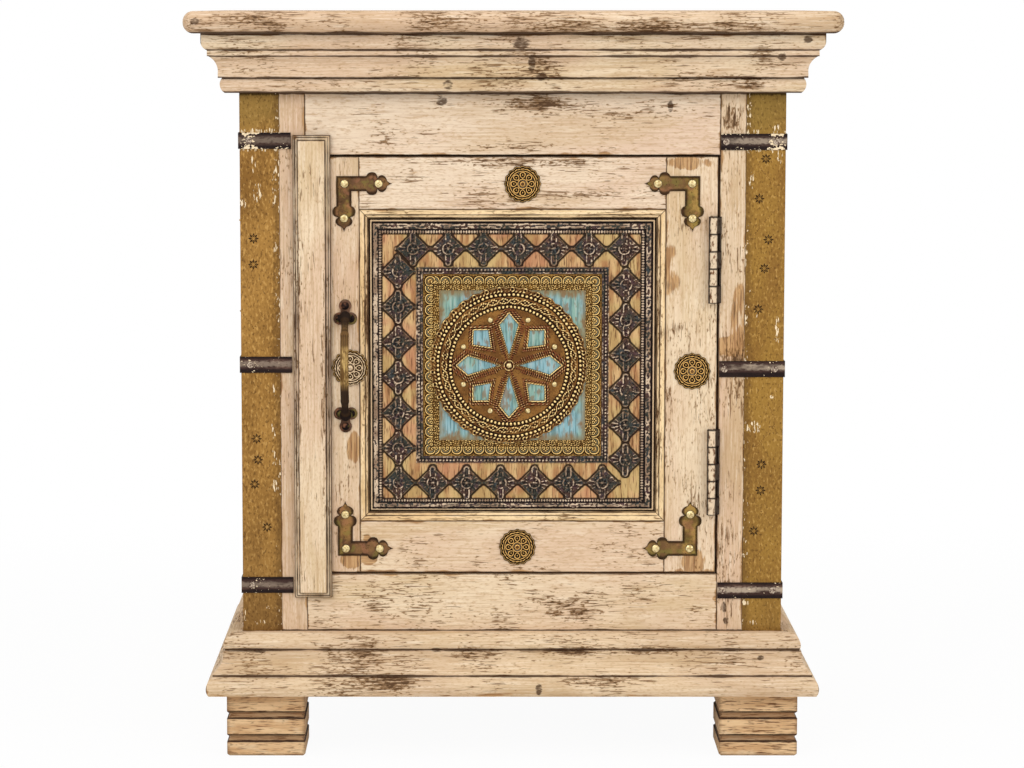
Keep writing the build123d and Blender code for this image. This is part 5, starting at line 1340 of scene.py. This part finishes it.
# --- Marks punched in the post brass ----------------------------------------------------------------------
# Eight-rayed stars and slanting rows of dots, punched up from behind before the sheet was folded on the
# posts.

STARS = ((219.0, 523.0), (213.5, 488.5), (221.7, 453.0), (218.5, 428.0), (213.5, 392.5), (217.6, 256.5),
         (217.0, 233.5), (211.5, 197.5), (-224.5, 454.0), (-224.8, 431.5), (-223.0, 279.0), (-222.0, 260.5),
         (-225.0, 239.0), (-214.5, 201.0))
STAR_RADIUS = 4.8
RAYS = 8
RAY_ROOT, RAY_WIDEST, RAY_HALF, RAY_HEIGHT = 1.1, 2.6, 0.95, 0.5
SLEEVE_FACE = -150.0


def star_points():
    """One star about its middle: eight narrow rays, each a low roof of four faces with its ridge outward."""
    ray = np.arange(RAYS) * 2 * math.pi / RAYS
    along = np.stack([np.cos(ray), 0 * ray, np.sin(ray)], axis=-1)
    across = np.stack([-np.sin(ray), 0 * ray, np.cos(ray)], axis=-1)
    widest = along * RAY_WIDEST
    corners = (along * RAY_ROOT, widest - across * RAY_HALF, along * STAR_RADIUS, widest + across * RAY_HALF,
               widest - np.array([0, RAY_HEIGHT, 0]))
    return np.stack(corners, axis=1).reshape(-1, 3)


def punched_finish():
    """The sleeve's brass, bright on the tops, where the first mark is 1, and dark in the dents round them."""
    finish = Finish("star_brass")
    grit = finish.blotches(1.5, "", 1, 340, detail=3)
    top = relief_kinds(finish)[0]
    body = finish.mix(grit.rise(0.4, 0.6), colour(176, 134, 68), colour(112, 78, 36))
    body = finish.mix(top.rise(0.95, 0.6), body, colour(40, 24, 10))
    return finish.shade(Base_Color=body, Metallic=0.6, Roughness=0.35 + grit * 0.2,
                        Normal=finish.bump(grit, 0.1))


star_brass = punched_finish()
roof = np.array([(0, 1, 4), (1, 2, 4), (2, 3, 4), (3, 0, 4)])
roofs = (roof[None] + 5 * np.arange(RAYS)[:, None, None]).reshape(-1, 3)
roof_marks = [[0, 0, 0, 1]] * 4 + [[1, 0, 0, 1]]
points, faces, fans, marks = copies(np.array([(x, SLEEVE_FACE, z) for x, z in STARS]), star_points(),
                                    np.zeros((0, 4), int), roofs, np.tile(roof_marks, (RAYS, 1)))
make_piece("punched_stars", points, faces, star_brass, "carcass", marks, smooth=False,
           fans=fans)

DOT_ROWS = ((200, 446, 228, 480), (212, 518, 228, 498), (212, 368, 223, 385), (223, 310, 229, 296),
            (212, 271, 229, 290), (214, 220, 228, 202), (207, 168, 225, 188),
            (-236, 391, -225, 376), (-225, 376, -212, 392), (-236, 470, -220, 485), (-232, 222, -216, 206))
DOT_PITCH = 2.1
DOT_RADIUS = 0.85
DOT_HEIGHT = 0.4
DOT_SPOKES = 6
dot_places = []
for start_x, start_z, end_x, end_z in DOT_ROWS:
    length = math.hypot(end_x - start_x, end_z - start_z)
    share = np.arange(0, length, DOT_PITCH) / length
    dot_places.append(np.stack([start_x + (end_x - start_x) * share, SLEEVE_FACE + 0 * share,
                                start_z + (end_z - start_z) * share], axis=-1))
radius, angle = disc_points([DOT_RADIUS], DOT_SPOKES)
rim = np.stack([radius * np.cos(angle), 0.05 + 0 * radius, radius * np.sin(angle)], axis=-1)
rim_marks = np.tile([0.8, 0, 0, 1], (DOT_SPOKES, 1))
points, faces, fans, marks = copies(np.concatenate(dot_places), with_middle((0, -DOT_HEIGHT, 0), rim),
                                    *disc_faces(1, DOT_SPOKES), with_middle((1, 0, 0, 1), rim_marks))
make_piece("punched_dots", points, faces, star_brass, "carcass", marks, fans=fans)


# --- Studio -----------------------------------------------------------------------------------------------
# A plain pale floor, three large soft lamps, to the left, to the right and above, and a white surround. The
# camera stands in front, a little above.

FLOOR_HALF = 6.0       # metres
FLOOR_SHADE = 0.045      # how much of the lit floor and its shadow shows near the feet


def seen_plainly(tree):
    """1 for what the camera sees, also in metal or through glass, and 0 for light on its way to the cabinet:
    the most of three answers of Light Path."""
    seen = tree.node("ShaderNodeLightPath", output="Is Camera Ray")
    for way in ("Is Glossy Ray", "Is Transmission Ray"):
        seen = seen.most(tree.node("ShaderNodeLightPath", output=way))
    return seen


def lamp(name, place, aim, width, watts):
    """A square soft lamp at `place`, turned to face `aim`, both in metres: it hangs facing down, tips up by
    the angle between straight down and `aim`, and turns round Z towards it."""
    light = bpy.data.lights.new(name, "AREA")
    light.size = width
    light.energy = watts
    holder = bpy.data.objects.new(name, light)
    bpy.context.scene.collection.objects.link(holder)
    reach = np.array(aim) - np.array(place)
    holder.location = place
    holder.rotation_euler = (math.atan2(math.hypot(reach[0], reach[1]), -reach[2]), 0,
                             math.atan2(-reach[0], reach[1]))


floor_mesh = bpy.data.meshes.new("floor")
floor_corners = [(-FLOOR_HALF, -FLOOR_HALF, 0), (FLOOR_HALF, -FLOOR_HALF, 0),
                 (FLOOR_HALF, FLOOR_HALF, 0), (-FLOOR_HALF, FLOOR_HALF, 0)]
floor_mesh.from_pydata(floor_corners, [], [(0, 1, 2, 3)])
floor = bpy.data.objects.new("floor", floor_mesh)
bpy.context.scene.collection.objects.link(floor)
floor_finish = Finish("floor_paper")
floor_finish.shade(Base_Color=colour(240, 238, 235), Roughness=0.9)
across, along, _ = floor_finish.axes()
far = abs(across).most(abs(along)).rise(450, 1200)
whitened = seen_plainly(floor_finish) * (1 - FLOOR_SHADE + far * FLOOR_SHADE)
lit_paper = Amount(floor_finish, floor_finish.shader.outputs[0])
paper_white = floor_finish.node("ShaderNodeEmission", None, {"Color": (1, 1, 1, 1), "Strength": 1.0})
paper = floor_finish.node("ShaderNodeMixShader", None, {0: whitened, 1: lit_paper, 2: paper_white})
floor_finish.feed(floor_finish.tree.nodes["Material Output"].inputs["Surface"], paper)
floor_mesh.materials.append(floor_finish.material)

lamp("lamp_left", (-1.6, -2.4, 1.9), (0, 0, 0.35), 1.6, 34)
lamp("lamp_right", (1.9, -2.0, 1.5), (0, 0, 0.35), 1.6, 24)
lamp("lamp_above", (0.0, -0.4, 2.4), (0, 0, 0.3), 1.8, 20)

world = bpy.data.worlds.new("studio")
bpy.context.scene.world = world
world.use_nodes = True
sky = Tree(world.node_tree)
surround = sky.node("ShaderNodeBackground", None, {"Color": (1, 1, 1, 1), "Strength": 0.5})
white = sky.node("ShaderNodeBackground", None, {"Color": (1, 1, 1, 1), "Strength": 1.0})
sky.feed(world.node_tree.nodes["World Output"].inputs["Surface"],
         sky.node("ShaderNodeMixShader", None, {0: seen_plainly(sky), 1: surround, 2: white}))

camera_data = bpy.data.cameras.new("camera")
camera_data.lens = 116.0
camera_data.sensor_width = 36.0
camera_data.shift_x = 0.040
camera = bpy.data.objects.new("camera", camera_data)
bpy.context.scene.collection.objects.link(camera)
camera.location = (-0.036, -3.005, 0.655)
camera.rotation_euler = (math.radians(83.448), 0, 0)
bpy.context.scene.camera = camera
bpy.context.scene.view_settings.view_transform = "Standard"
